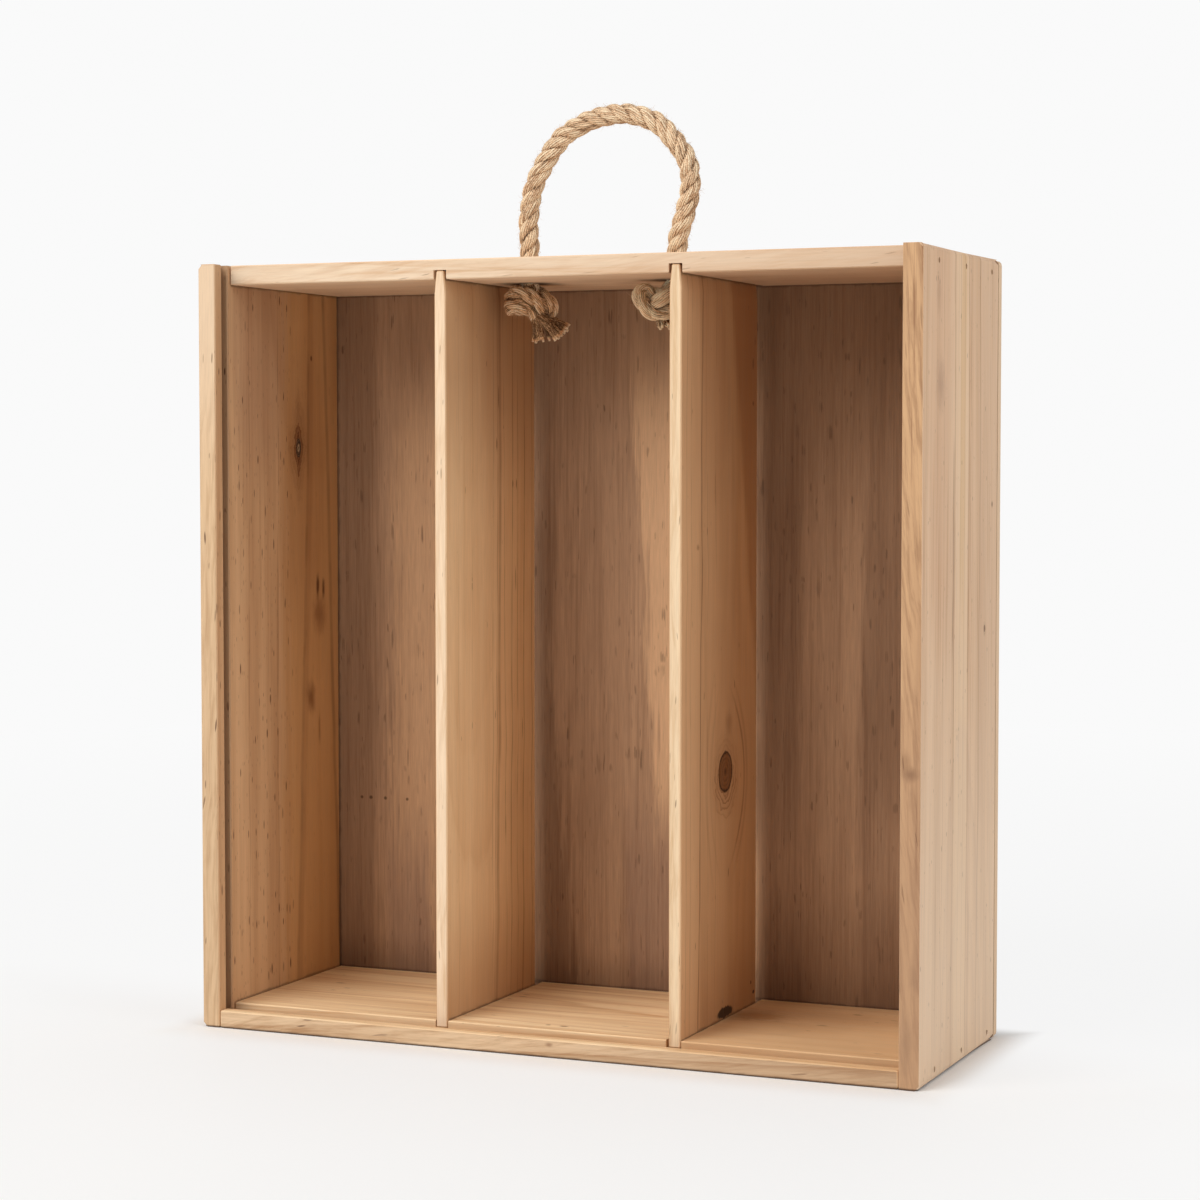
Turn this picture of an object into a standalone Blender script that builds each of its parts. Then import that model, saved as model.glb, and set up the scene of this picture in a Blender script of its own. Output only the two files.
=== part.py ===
"""A three-bottle pine wine case that stands on end, open at the front, with a rope handle on top.

Metres, +Z up. X runs along the width, -Y is the open front, and the origin is under the middle.
"""

import math

import bmesh
import bpy
from mathutils import Vector

# Overall size of the carcass
WIDTH = 0.3425
HEIGHT = 0.350
SIDE_DEPTH = 0.1165

# Boards
SIDE_THICKNESS = 0.0087
TOP_THICKNESS = 0.0088
FLOOR_THICKNESS = 0.0095
BACK_THICKNESS = 0.0060
BOARD_GAP = 0.0003
ARRIS = 0.0005
OUTER_ROUNDING = 0.0022

# Channel for a sliding lid: a lip in front, then a groove, in both sides and in the bottom board
LIP_DEPTH = 0.0063
GROOVE_WIDTH = 0.0050
GROOVE_DEPTH = 0.0040
GROOVE_STRIP = 0.0019
LIP_HEIGHT = 0.0080
FLOOR_GROOVE_DEPTH = 0.0040

# Dividers, which make three cells
DIVIDER_THICKNESS = 0.0057
DIVIDER_REAR_GAP = 0.0080
MIDDLE_CELL_WIDTH = 0.1067
MIDDLE_CELL_OFFSET = 0.0011
TONGUE_THICKNESS = 0.0036
TONGUE_TAPER = 0.0062
TOP_NOTCH_DEPTH = 0.0041
FLOOR_NOTCH_DEPTH = 0.0035
NOTCH_PLAY = 0.0003
FOOT_SLOP = 0.0009

# Rope handle
ROPE_DIAMETER = 0.0085
ROPE_HOLE_CLEARANCE = 0.0005
ROPE_GAP = 0.0003
LEFT_HOLE_FROM_DIVIDER = 0.01915
RIGHT_HOLE_FROM_DIVIDER = 0.01595
ROPE_Y = 0.0
KNOT_ROPE_DIAMETER = 0.0068
TAIL_STRAND_DIAMETER = 0.0046
TAIL_CUT_DIAMETER = 0.0056
KNOT_VOXEL = 0.0013

# Brads
BRAD_DIAMETER = 0.0013
BRAD_HEAD_DIAMETER = 0.0019
BRAD_HEAD_HEIGHT = 0.0010
BRAD_SINK = 0.0006
BRAD_CLEARANCE = 0.0003
SIDE_BRAD_LENGTH = 0.030
BACK_BRAD_LENGTH = 0.020
BRADS_PER_END = 3
END_BRAD_FRONT = 0.0230
END_BRAD_REAR = 0.0110
TOP_BRAD_DROP = 0.0059
FLOOR_BRAD_RISE = 0.0049
BACK_BRADS_UP_SIDE = 4
BACK_BRAD_END = 0.0300
BACK_BRAD_ACROSS = 0.1100

# How finely round things are divided
HOLE_SIDES = 24
BRAD_SIDES = 10
ROUNDING_SEGMENTS = 3
ROPE_BEVEL_RESOLUTION = 4
ROPE_END_RINGS = 3
CURVE_STEPS = 12
SMOOTH_BELOW_DEGREES = 35
EASED_ABOVE_DEGREES = 40

# How far a cutter runs past what it cuts, and how near two points are one
OVERRUN = 0.0050
WELD_DISTANCE = 0.00001

# Places that follow from the sizes above
OUTER_X = WIDTH / 2
INNER_X = OUTER_X - SIDE_THICKNESS
DEPTH = SIDE_DEPTH + BACK_THICKNESS
FRONT_Y = -DEPTH / 2
CARCASS_REAR_Y = FRONT_Y + SIDE_DEPTH
REAR_Y = DEPTH / 2
SETBACK_Y = FRONT_Y + LIP_DEPTH + GROOVE_WIDTH + GROOVE_STRIP
CEILING_Z = HEIGHT - TOP_THICKNESS
DIVIDER_DEPTH = CARCASS_REAR_Y - DIVIDER_REAR_GAP - SETBACK_Y
MIDDLE_CELL_LEFT_X = MIDDLE_CELL_OFFSET - MIDDLE_CELL_WIDTH / 2
MIDDLE_CELL_RIGHT_X = MIDDLE_CELL_OFFSET + MIDDLE_CELL_WIDTH / 2
LEFT_DIVIDER_X = MIDDLE_CELL_LEFT_X - DIVIDER_THICKNESS / 2
RIGHT_DIVIDER_X = MIDDLE_CELL_RIGHT_X + DIVIDER_THICKNESS / 2
LEFT_HOLE_X = MIDDLE_CELL_LEFT_X + LEFT_HOLE_FROM_DIVIDER
RIGHT_HOLE_X = MIDDLE_CELL_RIGHT_X - RIGHT_HOLE_FROM_DIVIDER
ARCH_MIDDLE_X = (LEFT_HOLE_X + RIGHT_HOLE_X) / 2
ROPE_RADIUS = ROPE_DIAMETER / 2
PIVOT_Z = HEIGHT + ROPE_GAP + ROPE_RADIUS

# Route of the rope's arch, leg to leg: (x from midway between its holes, height over the board)
ARCH_ROUTE = [
    (-0.0360, 0.0101),
    (-0.0363, 0.0200),
    (-0.0346, 0.0317),
    (-0.0314, 0.0402),
    (-0.0263, 0.0487),
    (-0.0202, 0.0562),
    (-0.0131, 0.0608),
    (-0.0037, 0.0645),
    (0.0103, 0.0662),
    (0.0242, 0.0627),
    (0.0325, 0.0560),
    (0.0403, 0.0459),
    (0.0426, 0.0374),
    (0.0422, 0.0289),
    (0.0401, 0.0206),
    (0.0375, 0.0120),
]

# The knots' routes: right, forward and up from the hole's foot, in a frame turned about Z
KNOT_TURN_DEGREES = 23.12
LEFT_KNOT_ROUTE = [
    (0.0005, -0.0004, -0.0012),
    (0.0030, -0.0010, -0.0038),
    (0.0066, 0.0008, -0.0060),
    (0.0092, 0.0014, -0.0092),
    (0.0088, -0.0018, -0.0124),
    (0.0036, -0.0050, -0.0122),
    (-0.0034, -0.0052, -0.0100),
    (-0.0080, -0.0022, -0.0066),
    (-0.0066, 0.0020, -0.0040),
    (-0.0018, 0.0046, -0.0046),
    (0.0030, 0.0048, -0.0082),
    (0.0060, 0.0016, -0.0112),
    (0.0036, -0.0030, -0.0100),
    (-0.0030, -0.0046, -0.0104),
    (-0.0086, -0.0016, -0.0108),
    (-0.0076, 0.0026, -0.0098),
    (-0.0036, 0.0036, -0.0100),
    (0.0004, 0.0018, -0.0116),
    (0.0030, 0.0006, -0.0146),
]
RIGHT_KNOT_ROUTE = [
    (-0.0004, -0.0004, -0.0012),
    (-0.0026, -0.0008, -0.0040),
    (-0.0064, -0.0010, -0.0064),
    (-0.0104, -0.0006, -0.0066),
    (-0.0136, -0.0002, -0.0044),
    (-0.0162, 0.0014, -0.0066),
    (-0.0146, 0.0032, -0.0110),
    (-0.0104, 0.0036, -0.0148),
    (-0.0056, 0.0034, -0.0146),
    (-0.0006, 0.0020, -0.0122),
    (0.0020, -0.0008, -0.0084),
    (0.0012, 0.0010, -0.0048),
    (-0.0018, 0.0040, -0.0050),
    (-0.0056, 0.0052, -0.0080),
    (-0.0092, 0.0034, -0.0110),
    (-0.0100, -0.0010, -0.0130),
    (-0.0084, -0.0024, -0.0156),
]

# The tails' strands: where each goes from the knot to its cut end, in the same frame
LEFT_TAIL_ROUTES = [
    [
        (0.0006, 0.0008, -0.0110),
        (0.0020, 0.0014, -0.0142),
        (0.0034, 0.0016, -0.0190),
        (0.0041, 0.0013, -0.0266),
    ],
    [
        (0.0030, 0.0006, -0.0122),
        (0.0062, 0.0018, -0.0162),
        (0.0098, 0.0022, -0.0200),
        (0.0134, 0.0022, -0.0246),
    ],
    [
        (0.0044, -0.0022, -0.0116),
        (0.0094, -0.0020, -0.0160),
        (0.0134, -0.0020, -0.0182),
        (0.0172, -0.0022, -0.0204),
    ],
]
RIGHT_TAIL_ROUTES = [
    [
        (-0.0080, -0.0006, -0.0146),
        (-0.0070, 0.0006, -0.0170),
        (-0.0058, 0.0014, -0.0190),
        (-0.0050, 0.0016, -0.0212),
    ],
    [
        (-0.0066, -0.0022, -0.0148),
        (-0.0048, -0.0012, -0.0172),
        (-0.0032, -0.0006, -0.0190),
        (-0.0022, -0.0004, -0.0208),
    ],
    [
        (-0.0062, -0.0040, -0.0142),
        (-0.0032, -0.0036, -0.0160),
        (-0.0010, -0.0030, -0.0174),
        (0.0008, -0.0028, -0.0188),
    ],
]

PINE_PALE = (0.80, 0.63, 0.44)
PINE_WARM = (0.72, 0.52, 0.34)
PLY_BROWN = (0.50, 0.36, 0.25)
JUTE = (0.62, 0.46, 0.29)
NAIL_STEEL = (0.20, 0.16, 0.13)


def clear_scene():
    for old in list(bpy.data.objects):
        bpy.data.objects.remove(old, do_unlink=True)


def new_collection(name, hidden=False):
    collection = bpy.data.collections.new(name)
    collection.hide_render = hidden
    bpy.context.scene.collection.children.link(collection)
    return collection


def principled(name, colour, roughness, metallic=0.0):
    material = bpy.data.materials.new(name)
    material.use_nodes = True
    shader = material.node_tree.nodes["Principled BSDF"]
    shader.inputs["Base Color"].default_value = (*colour, 1.0)
    shader.inputs["Roughness"].default_value = roughness
    shader.inputs["Metallic"].default_value = metallic
    return material


def mesh_object(name, mesh, collection):
    obj = bpy.data.objects.new(name, mesh)
    collection.objects.link(obj)
    return obj


def bm_object(name, bm, collection):
    mesh = bpy.data.meshes.new(name)
    bm.to_mesh(mesh)
    bm.free()
    return mesh_object(name, mesh, collection)


def curve_to_mesh(curve_object, collection):
    """Makes one closed mesh of a curve object and removes the curve."""
    graph = bpy.context.evaluated_depsgraph_get()
    mesh = bpy.data.meshes.new_from_object(curve_object.evaluated_get(graph))
    bm = bmesh.new()
    bm.from_mesh(mesh)
    bmesh.ops.remove_doubles(bm, verts=bm.verts, dist=WELD_DISTANCE)
    bmesh.ops.recalc_face_normals(bm, faces=bm.faces)
    bm.to_mesh(mesh)
    bm.free()
    obj = mesh_object(curve_object.name + "_mesh", mesh, collection)
    obj.matrix_world = curve_object.matrix_world
    name = curve_object.name
    bpy.data.objects.remove(curve_object, do_unlink=True)
    obj.name = name
    return obj


def extruded(name, outline, length, place, turn, collection):
    """A flat outline, given as (x, y) points, drawn out evenly to both sides of its plane."""
    curve = bpy.data.curves.new(name, "CURVE")
    curve.dimensions = "2D"
    curve.fill_mode = "BOTH"
    curve.extrude = length / 2
    spline = curve.splines.new("POLY")
    spline.points.add(len(outline) - 1)
    for point, (x, y) in zip(spline.points, outline):
        point.co = (x, y, 0.0, 1.0)
    spline.use_cyclic_u = True
    obj = mesh_object(name, curve, collection)
    obj.rotation_euler = turn
    obj.location = place
    bpy.context.view_layer.update()
    return curve_to_mesh(obj, collection)


def box(name, low, high, collection):
    bm = bmesh.new()
    bmesh.ops.create_cube(bm, size=1.0)
    low, high = Vector(low), Vector(high)
    bmesh.ops.scale(bm, vec=high - low, verts=bm.verts)
    bmesh.ops.translate(bm, vec=(low + high) / 2, verts=bm.verts)
    return bm_object(name, bm, collection)


def rod(name, start, end, radius, sides, collection):
    """A cylinder from one point to another."""
    start, end = Vector(start), Vector(end)
    bm = bmesh.new()
    bmesh.ops.create_cone(
        bm,
        cap_ends=True,
        segments=sides,
        radius1=radius,
        radius2=radius,
        depth=(end - start).length,
    )
    turn = Vector((0, 0, 1)).rotation_difference(end - start).to_matrix()
    bmesh.ops.rotate(bm, matrix=turn, verts=bm.verts)
    bmesh.ops.translate(bm, vec=(start + end) / 2, verts=bm.verts)
    obj = bm_object(name, bm, collection)
    obj.data.shade_smooth()
    obj.data.set_sharp_from_angle(angle=math.radians(SMOOTH_BELOW_DEGREES))
    return obj


def round_edges(obj, radius, wanted):
    """Rounds the edges for whose two ends, in world space, the test is true."""
    bm = bmesh.new()
    bm.from_mesh(obj.data)
    place = obj.matrix_world
    edges = [e for e in bm.edges if wanted(place @ e.verts[0].co, place @ e.verts[1].co)]
    bmesh.ops.bevel(
        bm,
        geom=edges,
        offset=radius,
        segments=ROUNDING_SEGMENTS,
        profile=0.5,
        affect="EDGES",
    )
    bm.to_mesh(obj.data)
    bm.free()


def ease(obj):
    """Takes the sharpness off every arris."""
    bevel = obj.modifiers.new("arris", "BEVEL")
    bevel.width = ARRIS
    bevel.segments = 1
    bevel.limit_method = "ANGLE"
    bevel.angle_limit = math.radians(EASED_ABOVE_DEGREES)


def cut(obj, cutter):
    modifier = obj.modifiers.new(cutter.name, "BOOLEAN")
    modifier.operation = "DIFFERENCE"
    modifier.solver = "EXACT"
    modifier.object = cutter


def as_cutter(obj):
    obj.hide_render = True
    obj.display_type = "WIRE"
    return obj


def finish(obj, colour, roughness):
    obj.data.materials.clear()
    obj.data.materials.append(principled(obj.name, colour, roughness))


def even_places(count, first, last):
    """Evenly spaced places from the first to the last."""
    step = (last - first) / (count - 1)
    return [first + step * index for index in range(count)]


def catmull_rom(points, steps):
    """A smooth curve through the points, each stretch divided into equal steps."""
    points = [Vector(p) for p in points]
    ends = [points[0] * 2 - points[1]] + points + [points[-1] * 2 - points[-2]]
    found = []
    for a, b, c, d in zip(ends, ends[1:], ends[2:], ends[3:]):
        for index in range(steps):
            t = index / steps
            found.append(
                (
                    b * 2
                    + (c - a) * t
                    + (a * 2 - b * 5 + c * 4 - d) * t**2
                    + (b * 3 - a - c * 3 + d) * t**3
                )
                / 2
            )
    return found + [points[-1]]


def even_points(line, spacing):
    """Points along a line, as near the spacing as divides its length evenly."""
    lengths = [(b - a).length for a, b in zip(line, line[1:])]
    count = max(2, round(sum(lengths) / spacing))
    step = sum(lengths) / count
    found, run, index = [line[0]], 0.0, 0
    for number in range(1, count):
        while run + lengths[index] < step * number:
            run += lengths[index]
            index += 1
        share = (step * number - run) / lengths[index]
        found.append(line[index].lerp(line[index + 1], share))
    return found + [line[-1]]


def tube(name, points, radii, collection):
    """A tube through the points, with a radius at each of them."""
    widest = max(radii)
    curve = bpy.data.curves.new(name, "CURVE")
    curve.dimensions = "3D"
    curve.bevel_depth = widest
    curve.bevel_resolution = ROPE_BEVEL_RESOLUTION
    curve.use_fill_caps = True
    curve.twist_mode = "MINIMUM"
    spline = curve.splines.new("POLY")
    spline.points.add(len(points) - 1)
    for point, place, radius in zip(spline.points, points, radii):
        point.co = (*place, 1.0)
        point.radius = radius / widest
    return mesh_object(name, curve, collection)


def profile_mesh(name, profile):
    """Half the outline of a turned piece, as (radius, height) points from its top to its bottom."""
    mesh = bpy.data.meshes.new(name)
    edges = [(index, index + 1) for index in range(len(profile) - 1)]
    mesh.from_pydata([(x, 0, z) for x, z in profile], edges, [])
    return mesh


def stepped_profile(name, length, shank, head, step):
    """A headed pin's outline, its tip at zero height and its head's step measured from the top."""
    neck = length - step
    profile = [(0, length), (head, length), (head, neck), (shank, neck), (shank, 0), (0, 0)]
    return profile_mesh(name, profile)


def turned(name, mesh, head, tip, collection):
    """A turned piece whose foot is at the tip and whose axis points to the head."""
    obj = mesh_object(name, mesh, collection)
    obj.rotation_euler = (head - tip).to_track_quat("Z", "Y").to_euler()
    obj.location = tip
    turn = obj.modifiers.new("turned", "SCREW")
    turn.axis = "Z"
    turn.steps = turn.render_steps = BRAD_SIDES
    turn.use_merge_vertices = True
    turn.merge_threshold = WELD_DISTANCE
    return obj


def knot_place(point, hole_x):
    """A point of a knot's route, given right, forward and up of the hole's foot, in the case's frame."""
    right, forward, up = point
    turn = math.radians(KNOT_TURN_DEGREES)
    x = right * math.cos(turn) + forward * math.sin(turn)
    y = right * math.sin(turn) - forward * math.cos(turn)
    return Vector((hole_x + x, ROPE_Y + y, CEILING_Z + up))


class Case:
    """The pieces of the case, with the collections that they go in."""

    def __init__(self):
        self.parts = new_collection("wine_case")
        self.cutters = new_collection("cutters", hidden=True)

    def brad_hole(self, name, head, tip, mesh):
        """The hole for one brad: a shank hole with a wider mouth round the sunk head."""
        along = (Vector(tip) - Vector(head)).normalized()
        end = Vector(tip) + along * BRAD_CLEARANCE
        return as_cutter(turned(name, mesh, Vector(head), end, self.cutters))

    def brads(self, name, lines, mesh):
        """One brad for each line of head and tip, turned from its outline."""
        for number, (head, tip) in enumerate(lines, start=1):
            turned(f"{name}_{number}", mesh, Vector(head), Vector(tip), self.parts)

    def side_brad_lines(self, side):
        """Head and tip of each brad through one side: (into the top board, into the bottom board)."""
        places = even_places(
            BRADS_PER_END, FRONT_Y + END_BRAD_FRONT, CARCASS_REAR_Y - END_BRAD_REAR
        )
        head_x = side * (OUTER_X - BRAD_SINK)
        tip_x = head_x - side * SIDE_BRAD_LENGTH
        heights = (HEIGHT - TOP_BRAD_DROP, FLOOR_BRAD_RISE)
        return [[((head_x, y, z), (tip_x, y, z)) for y in places] for z in heights]

    def back_brad_lines(self):
        """Head and tip of each brad through the back: (into the sides, into the top, into the bottom)."""
        head_y = REAR_Y - BRAD_SINK
        tip_y = head_y - BACK_BRAD_LENGTH
        edge_x = OUTER_X - SIDE_THICKNESS / 2
        up = even_places(BACK_BRADS_UP_SIDE, BACK_BRAD_END, HEIGHT - BACK_BRAD_END)
        across = even_places(BRADS_PER_END, -BACK_BRAD_ACROSS, BACK_BRAD_ACROSS)

        def line(x, z):
            return ((x, head_y, z), (x, tip_y, z))

        return [
            [line(side * edge_x, z) for side in (-1, 1) for z in up],
            [line(x, HEIGHT - TOP_THICKNESS / 2) for x in across],
            [line(x, FLOOR_THICKNESS / 2) for x in across],
        ]

    def brad_hole_mesh(self, length):
        shank = BRAD_DIAMETER / 2 + BRAD_CLEARANCE
        mouth = BRAD_HEAD_DIAMETER / 2 + BRAD_CLEARANCE
        reach = length + BRAD_CLEARANCE + BRAD_SINK + OVERRUN
        step = OVERRUN + BRAD_SINK + BRAD_HEAD_HEIGHT + BRAD_CLEARANCE
        return stepped_profile("brad_hole", reach, shank, mouth, step)

    def brad_mesh(self, length):
        shank, head = BRAD_DIAMETER / 2, BRAD_HEAD_DIAMETER / 2
        mesh = stepped_profile("brad", length, shank, head, BRAD_HEAD_HEIGHT)
        mesh.materials.append(principled("brad_steel", NAIL_STEEL, 0.45, 0.9))
        return mesh

    def nail(self, name, boards, lines, length):
        """Brads driven through one board into the next, and their holes in both."""
        hole_mesh, mesh = self.brad_hole_mesh(length), self.brad_mesh(length)
        for number, (head, tip) in enumerate(lines, start=1):
            hole = self.brad_hole(f"hole_{name}_{number}", head, tip, hole_mesh)
            for board in boards:
                cut(board, hole)
        self.brads(name, lines, mesh)

    def side(self, name, side):
        """A side board, its lid groove milled along the inner face from end to end."""
        outer, inner = side * OUTER_X, side * INNER_X
        groove = inner + side * GROOVE_DEPTH
        groove_front = FRONT_Y + LIP_DEPTH
        groove_rear = groove_front + GROOVE_WIDTH
        rear = CARCASS_REAR_Y - BOARD_GAP
        outline = [
            (outer, FRONT_Y),
            (inner, FRONT_Y),
            (inner, groove_front),
            (groove, groove_front),
            (groove, groove_rear),
            (inner, groove_rear),
            (inner, rear),
            (outer, rear),
        ]
        obj = extruded(name, outline, HEIGHT, (0, 0, HEIGHT / 2), (0, 0, 0), self.parts)

        def outer_end(a, b):
            flat = math.isclose(a.z, b.z, abs_tol=BOARD_GAP)
            return flat and abs(abs(a.x) - OUTER_X) + abs(abs(b.x) - OUTER_X) < BOARD_GAP

        round_edges(obj, OUTER_ROUNDING, outer_end)
        ease(obj)
        finish(obj, PINE_PALE, 0.6)
        return obj

    def divider_x(self, side):
        return LEFT_DIVIDER_X if side < 0 else RIGHT_DIVIDER_X

    def top_board(self):
        """The top board, notched under its front for the dividers and bored for the rope."""
        reach = INNER_X - BOARD_GAP
        low = (-reach, SETBACK_Y, CEILING_Z)
        high = (reach, CARCASS_REAR_Y - BOARD_GAP, HEIGHT)
        obj = box("top_board", low, high, self.parts)
        ease(obj)
        notch = DIVIDER_THICKNESS / 2 + NOTCH_PLAY
        for side in (-1, 1):
            x = self.divider_x(side)
            low = (x - notch, SETBACK_Y - OVERRUN, CEILING_Z - OVERRUN)
            high = (x + notch, CARCASS_REAR_Y + OVERRUN, CEILING_Z + TOP_NOTCH_DEPTH)
            cut(obj, as_cutter(box(f"top_notch_{side}", low, high, self.cutters)))
        radius = ROPE_RADIUS + ROPE_HOLE_CLEARANCE
        for x in (LEFT_HOLE_X, RIGHT_HOLE_X):
            low = (x, ROPE_Y, CEILING_Z - OVERRUN)
            high = (x, ROPE_Y, HEIGHT + OVERRUN)
            hole = rod("rope_hole", low, high, radius, HOLE_SIDES, self.cutters)
            cut(obj, as_cutter(hole))
        finish(obj, PINE_PALE, 0.6)
        return obj

    def bottom_board(self):
        """The bottom board: front lip, lid groove, then the raised floor, notched for the dividers."""
        reach = INNER_X - BOARD_GAP
        rear = CARCASS_REAR_Y - BOARD_GAP
        lip_rear = FRONT_Y + LIP_DEPTH
        groove_floor = LIP_HEIGHT - FLOOR_GROOVE_DEPTH
        outline = [
            (FRONT_Y, 0.0),
            (rear, 0.0),
            (rear, FLOOR_THICKNESS),
            (SETBACK_Y, FLOOR_THICKNESS),
            (SETBACK_Y, groove_floor),
            (lip_rear, groove_floor),
            (lip_rear, LIP_HEIGHT),
            (FRONT_Y, LIP_HEIGHT),
        ]
        across = (math.radians(90), 0, math.radians(90))
        obj = extruded("bottom_board", outline, reach * 2, (0, 0, 0), across, self.parts)
        ease(obj)
        notch = DIVIDER_THICKNESS / 2 + NOTCH_PLAY
        for side in (-1, 1):
            x = self.divider_x(side)
            slop = FOOT_SLOP if side > 0 else 0.0
            low = (x - notch - slop, SETBACK_Y - OVERRUN / 2, FLOOR_THICKNESS - FLOOR_NOTCH_DEPTH)
            high = (x + notch, CARCASS_REAR_Y + OVERRUN, FLOOR_THICKNESS + OVERRUN)
            cut(obj, as_cutter(box(f"floor_notch_{side}", low, high, self.cutters)))
        finish(obj, PINE_WARM, 0.6)
        return obj

    def back_panel(self):
        """The back, laid over the rear ends of the other boards."""
        low = (-OUTER_X, CARCASS_REAR_Y, 0.0)
        high = (OUTER_X, REAR_Y, HEIGHT)
        obj = box("back_panel", low, high, self.parts)

        def corner(a, b):
            return math.isclose(a.x, b.x) and math.isclose(a.z, b.z)

        round_edges(obj, OUTER_ROUNDING, corner)
        ease(obj)
        finish(obj, PLY_BROWN, 0.65)
        return obj

    def divider(self, name, side):
        """A thin upright board, its top thinned to a tongue, both ends let into notches."""
        foot = FLOOR_THICKNESS - FLOOR_NOTCH_DEPTH + BOARD_GAP
        head = CEILING_Z + TOP_NOTCH_DEPTH - BOARD_GAP
        shoulder = head - TOP_NOTCH_DEPTH - TONGUE_TAPER
        waist = (shoulder + head) / 2
        half, tongue = DIVIDER_THICKNESS / 2, TONGUE_THICKNESS / 2
        between = (half + tongue) / 2
        right = [(half, foot), (half, shoulder), (between, waist), (tongue, head)]
        outline = right + [(-x, z) for x, z in reversed(right)]
        middle_y = SETBACK_Y + DIVIDER_DEPTH / 2
        place = (self.divider_x(side), middle_y, 0)
        upright = (math.radians(90), 0, 0)
        obj = extruded(name, outline, DIVIDER_DEPTH, place, upright, self.parts)
        ease(obj)
        finish(obj, PINE_PALE, 0.6)
        return obj

    def rope_loop(self, handle):
        """The rope's arch, from hole to hole. Its ends are round, so that it can fold down."""
        left, right = (LEFT_HOLE_X, 0.0), (RIGHT_HOLE_X, 0.0)
        arch = [(ARCH_MIDDLE_X + x, z - ROPE_RADIUS - ROPE_GAP) for x, z in ARCH_ROUTE]
        route = [left, *arch, right]
        line = catmull_rom([(x, 0.0, z) for x, z in route], CURVE_STEPS)
        points = even_points(line, ROPE_DIAMETER / 2)
        radii = [ROPE_RADIUS] * len(points)
        for ring in range(1, ROPE_END_RINGS + 1):
            angle = math.radians(90) * ring / (ROPE_END_RINGS + 1)
            drop = Vector((0, 0, ROPE_RADIUS * math.sin(angle)))
            narrowed = ROPE_RADIUS * math.cos(angle)
            points = [line[0] - drop, *points, line[-1] - drop]
            radii = [narrowed, *radii, narrowed]
        obj = tube("rope_loop", points, radii, self.parts)
        obj.parent = handle
        finish(obj, JUTE, 0.9)
        return obj

    def rope_end(self, name, hole_x, route, tails):
        """The rope through its hole, and under the board its knot and the strands of its short tail."""
        top = Vector((hole_x, ROPE_Y, HEIGHT))
        foot = Vector((hole_x, ROPE_Y, CEILING_Z))
        knot = [knot_place(point, hole_x) for point in route]
        points = even_points(catmull_rom([foot, *knot], CURVE_STEPS), KNOT_ROPE_DIAMETER / 3)
        radii = [KNOT_ROPE_DIAMETER / 2] * len(points)
        lines = [([top, (top + foot) / 2, *points], [ROPE_RADIUS, ROPE_RADIUS, *radii])]
        for tail in tails:
            strand = [knot_place(point, hole_x) for point in tail]
            points = even_points(catmull_rom(strand, CURVE_STEPS), TAIL_STRAND_DIAMETER / 3)
            widening = (TAIL_CUT_DIAMETER - TAIL_STRAND_DIAMETER) / (len(points) - 1)
            radii = [(TAIL_STRAND_DIAMETER + widening * number) / 2 for number in range(len(points))]
            lines.append((points, radii))
        merged = bmesh.new()
        for number, (points, radii) in enumerate(lines):
            piece = curve_to_mesh(tube(f"{name}_{number}", points, radii, self.parts), self.parts)
            merged.from_mesh(piece.data)
            bpy.data.objects.remove(piece, do_unlink=True)
        obj = bm_object(name, merged, self.parts)
        fuse = obj.modifiers.new("crossings", "REMESH")
        fuse.mode = "VOXEL"
        fuse.voxel_size = KNOT_VOXEL
        fuse.use_smooth_shade = True
        finish(obj, JUTE, 0.9)
        return obj

    def handle_pivot(self):
        """The empty on the line that the handle turns about, over both holes."""
        pivot = bpy.data.objects.new("handle_pivot", None)
        pivot.location = (0, ROPE_Y, PIVOT_Z)
        self.parts.objects.link(pivot)
        return pivot


def main():
    clear_scene()
    case = Case()
    left, right = case.side("left_side", -1), case.side("right_side", 1)
    top, bottom, back = case.top_board(), case.bottom_board(), case.back_panel()
    case.divider("divider_left", -1)
    case.divider("divider_right", 1)
    for side, board, word in ((-1, left, "left"), (1, right, "right")):
        top_lines, bottom_lines = case.side_brad_lines(side)
        case.nail(f"brad_{word}_top", (board, top), top_lines, SIDE_BRAD_LENGTH)
        case.nail(f"brad_{word}_bottom", (board, bottom), bottom_lines, SIDE_BRAD_LENGTH)
    side_lines, top_lines, bottom_lines = case.back_brad_lines()
    case.nail("brad_back_side", (back, left, right), side_lines, BACK_BRAD_LENGTH)
    case.nail("brad_back_top", (back, top), top_lines, BACK_BRAD_LENGTH)
    case.nail("brad_back_bottom", (back, bottom), bottom_lines, BACK_BRAD_LENGTH)
    case.rope_loop(case.handle_pivot())
    case.rope_end("rope_end_left", LEFT_HOLE_X, LEFT_KNOT_ROUTE, LEFT_TAIL_ROUTES)
    case.rope_end("rope_end_right", RIGHT_HOLE_X, RIGHT_KNOT_ROUTE, RIGHT_TAIL_ROUTES)


main()
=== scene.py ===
"""The look of a three-bottle pine wine case with a rope handle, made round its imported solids.

Metres, +Z up, in the frame of the solids. -Y is the open front.
"""

import math
from dataclasses import dataclass

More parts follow.
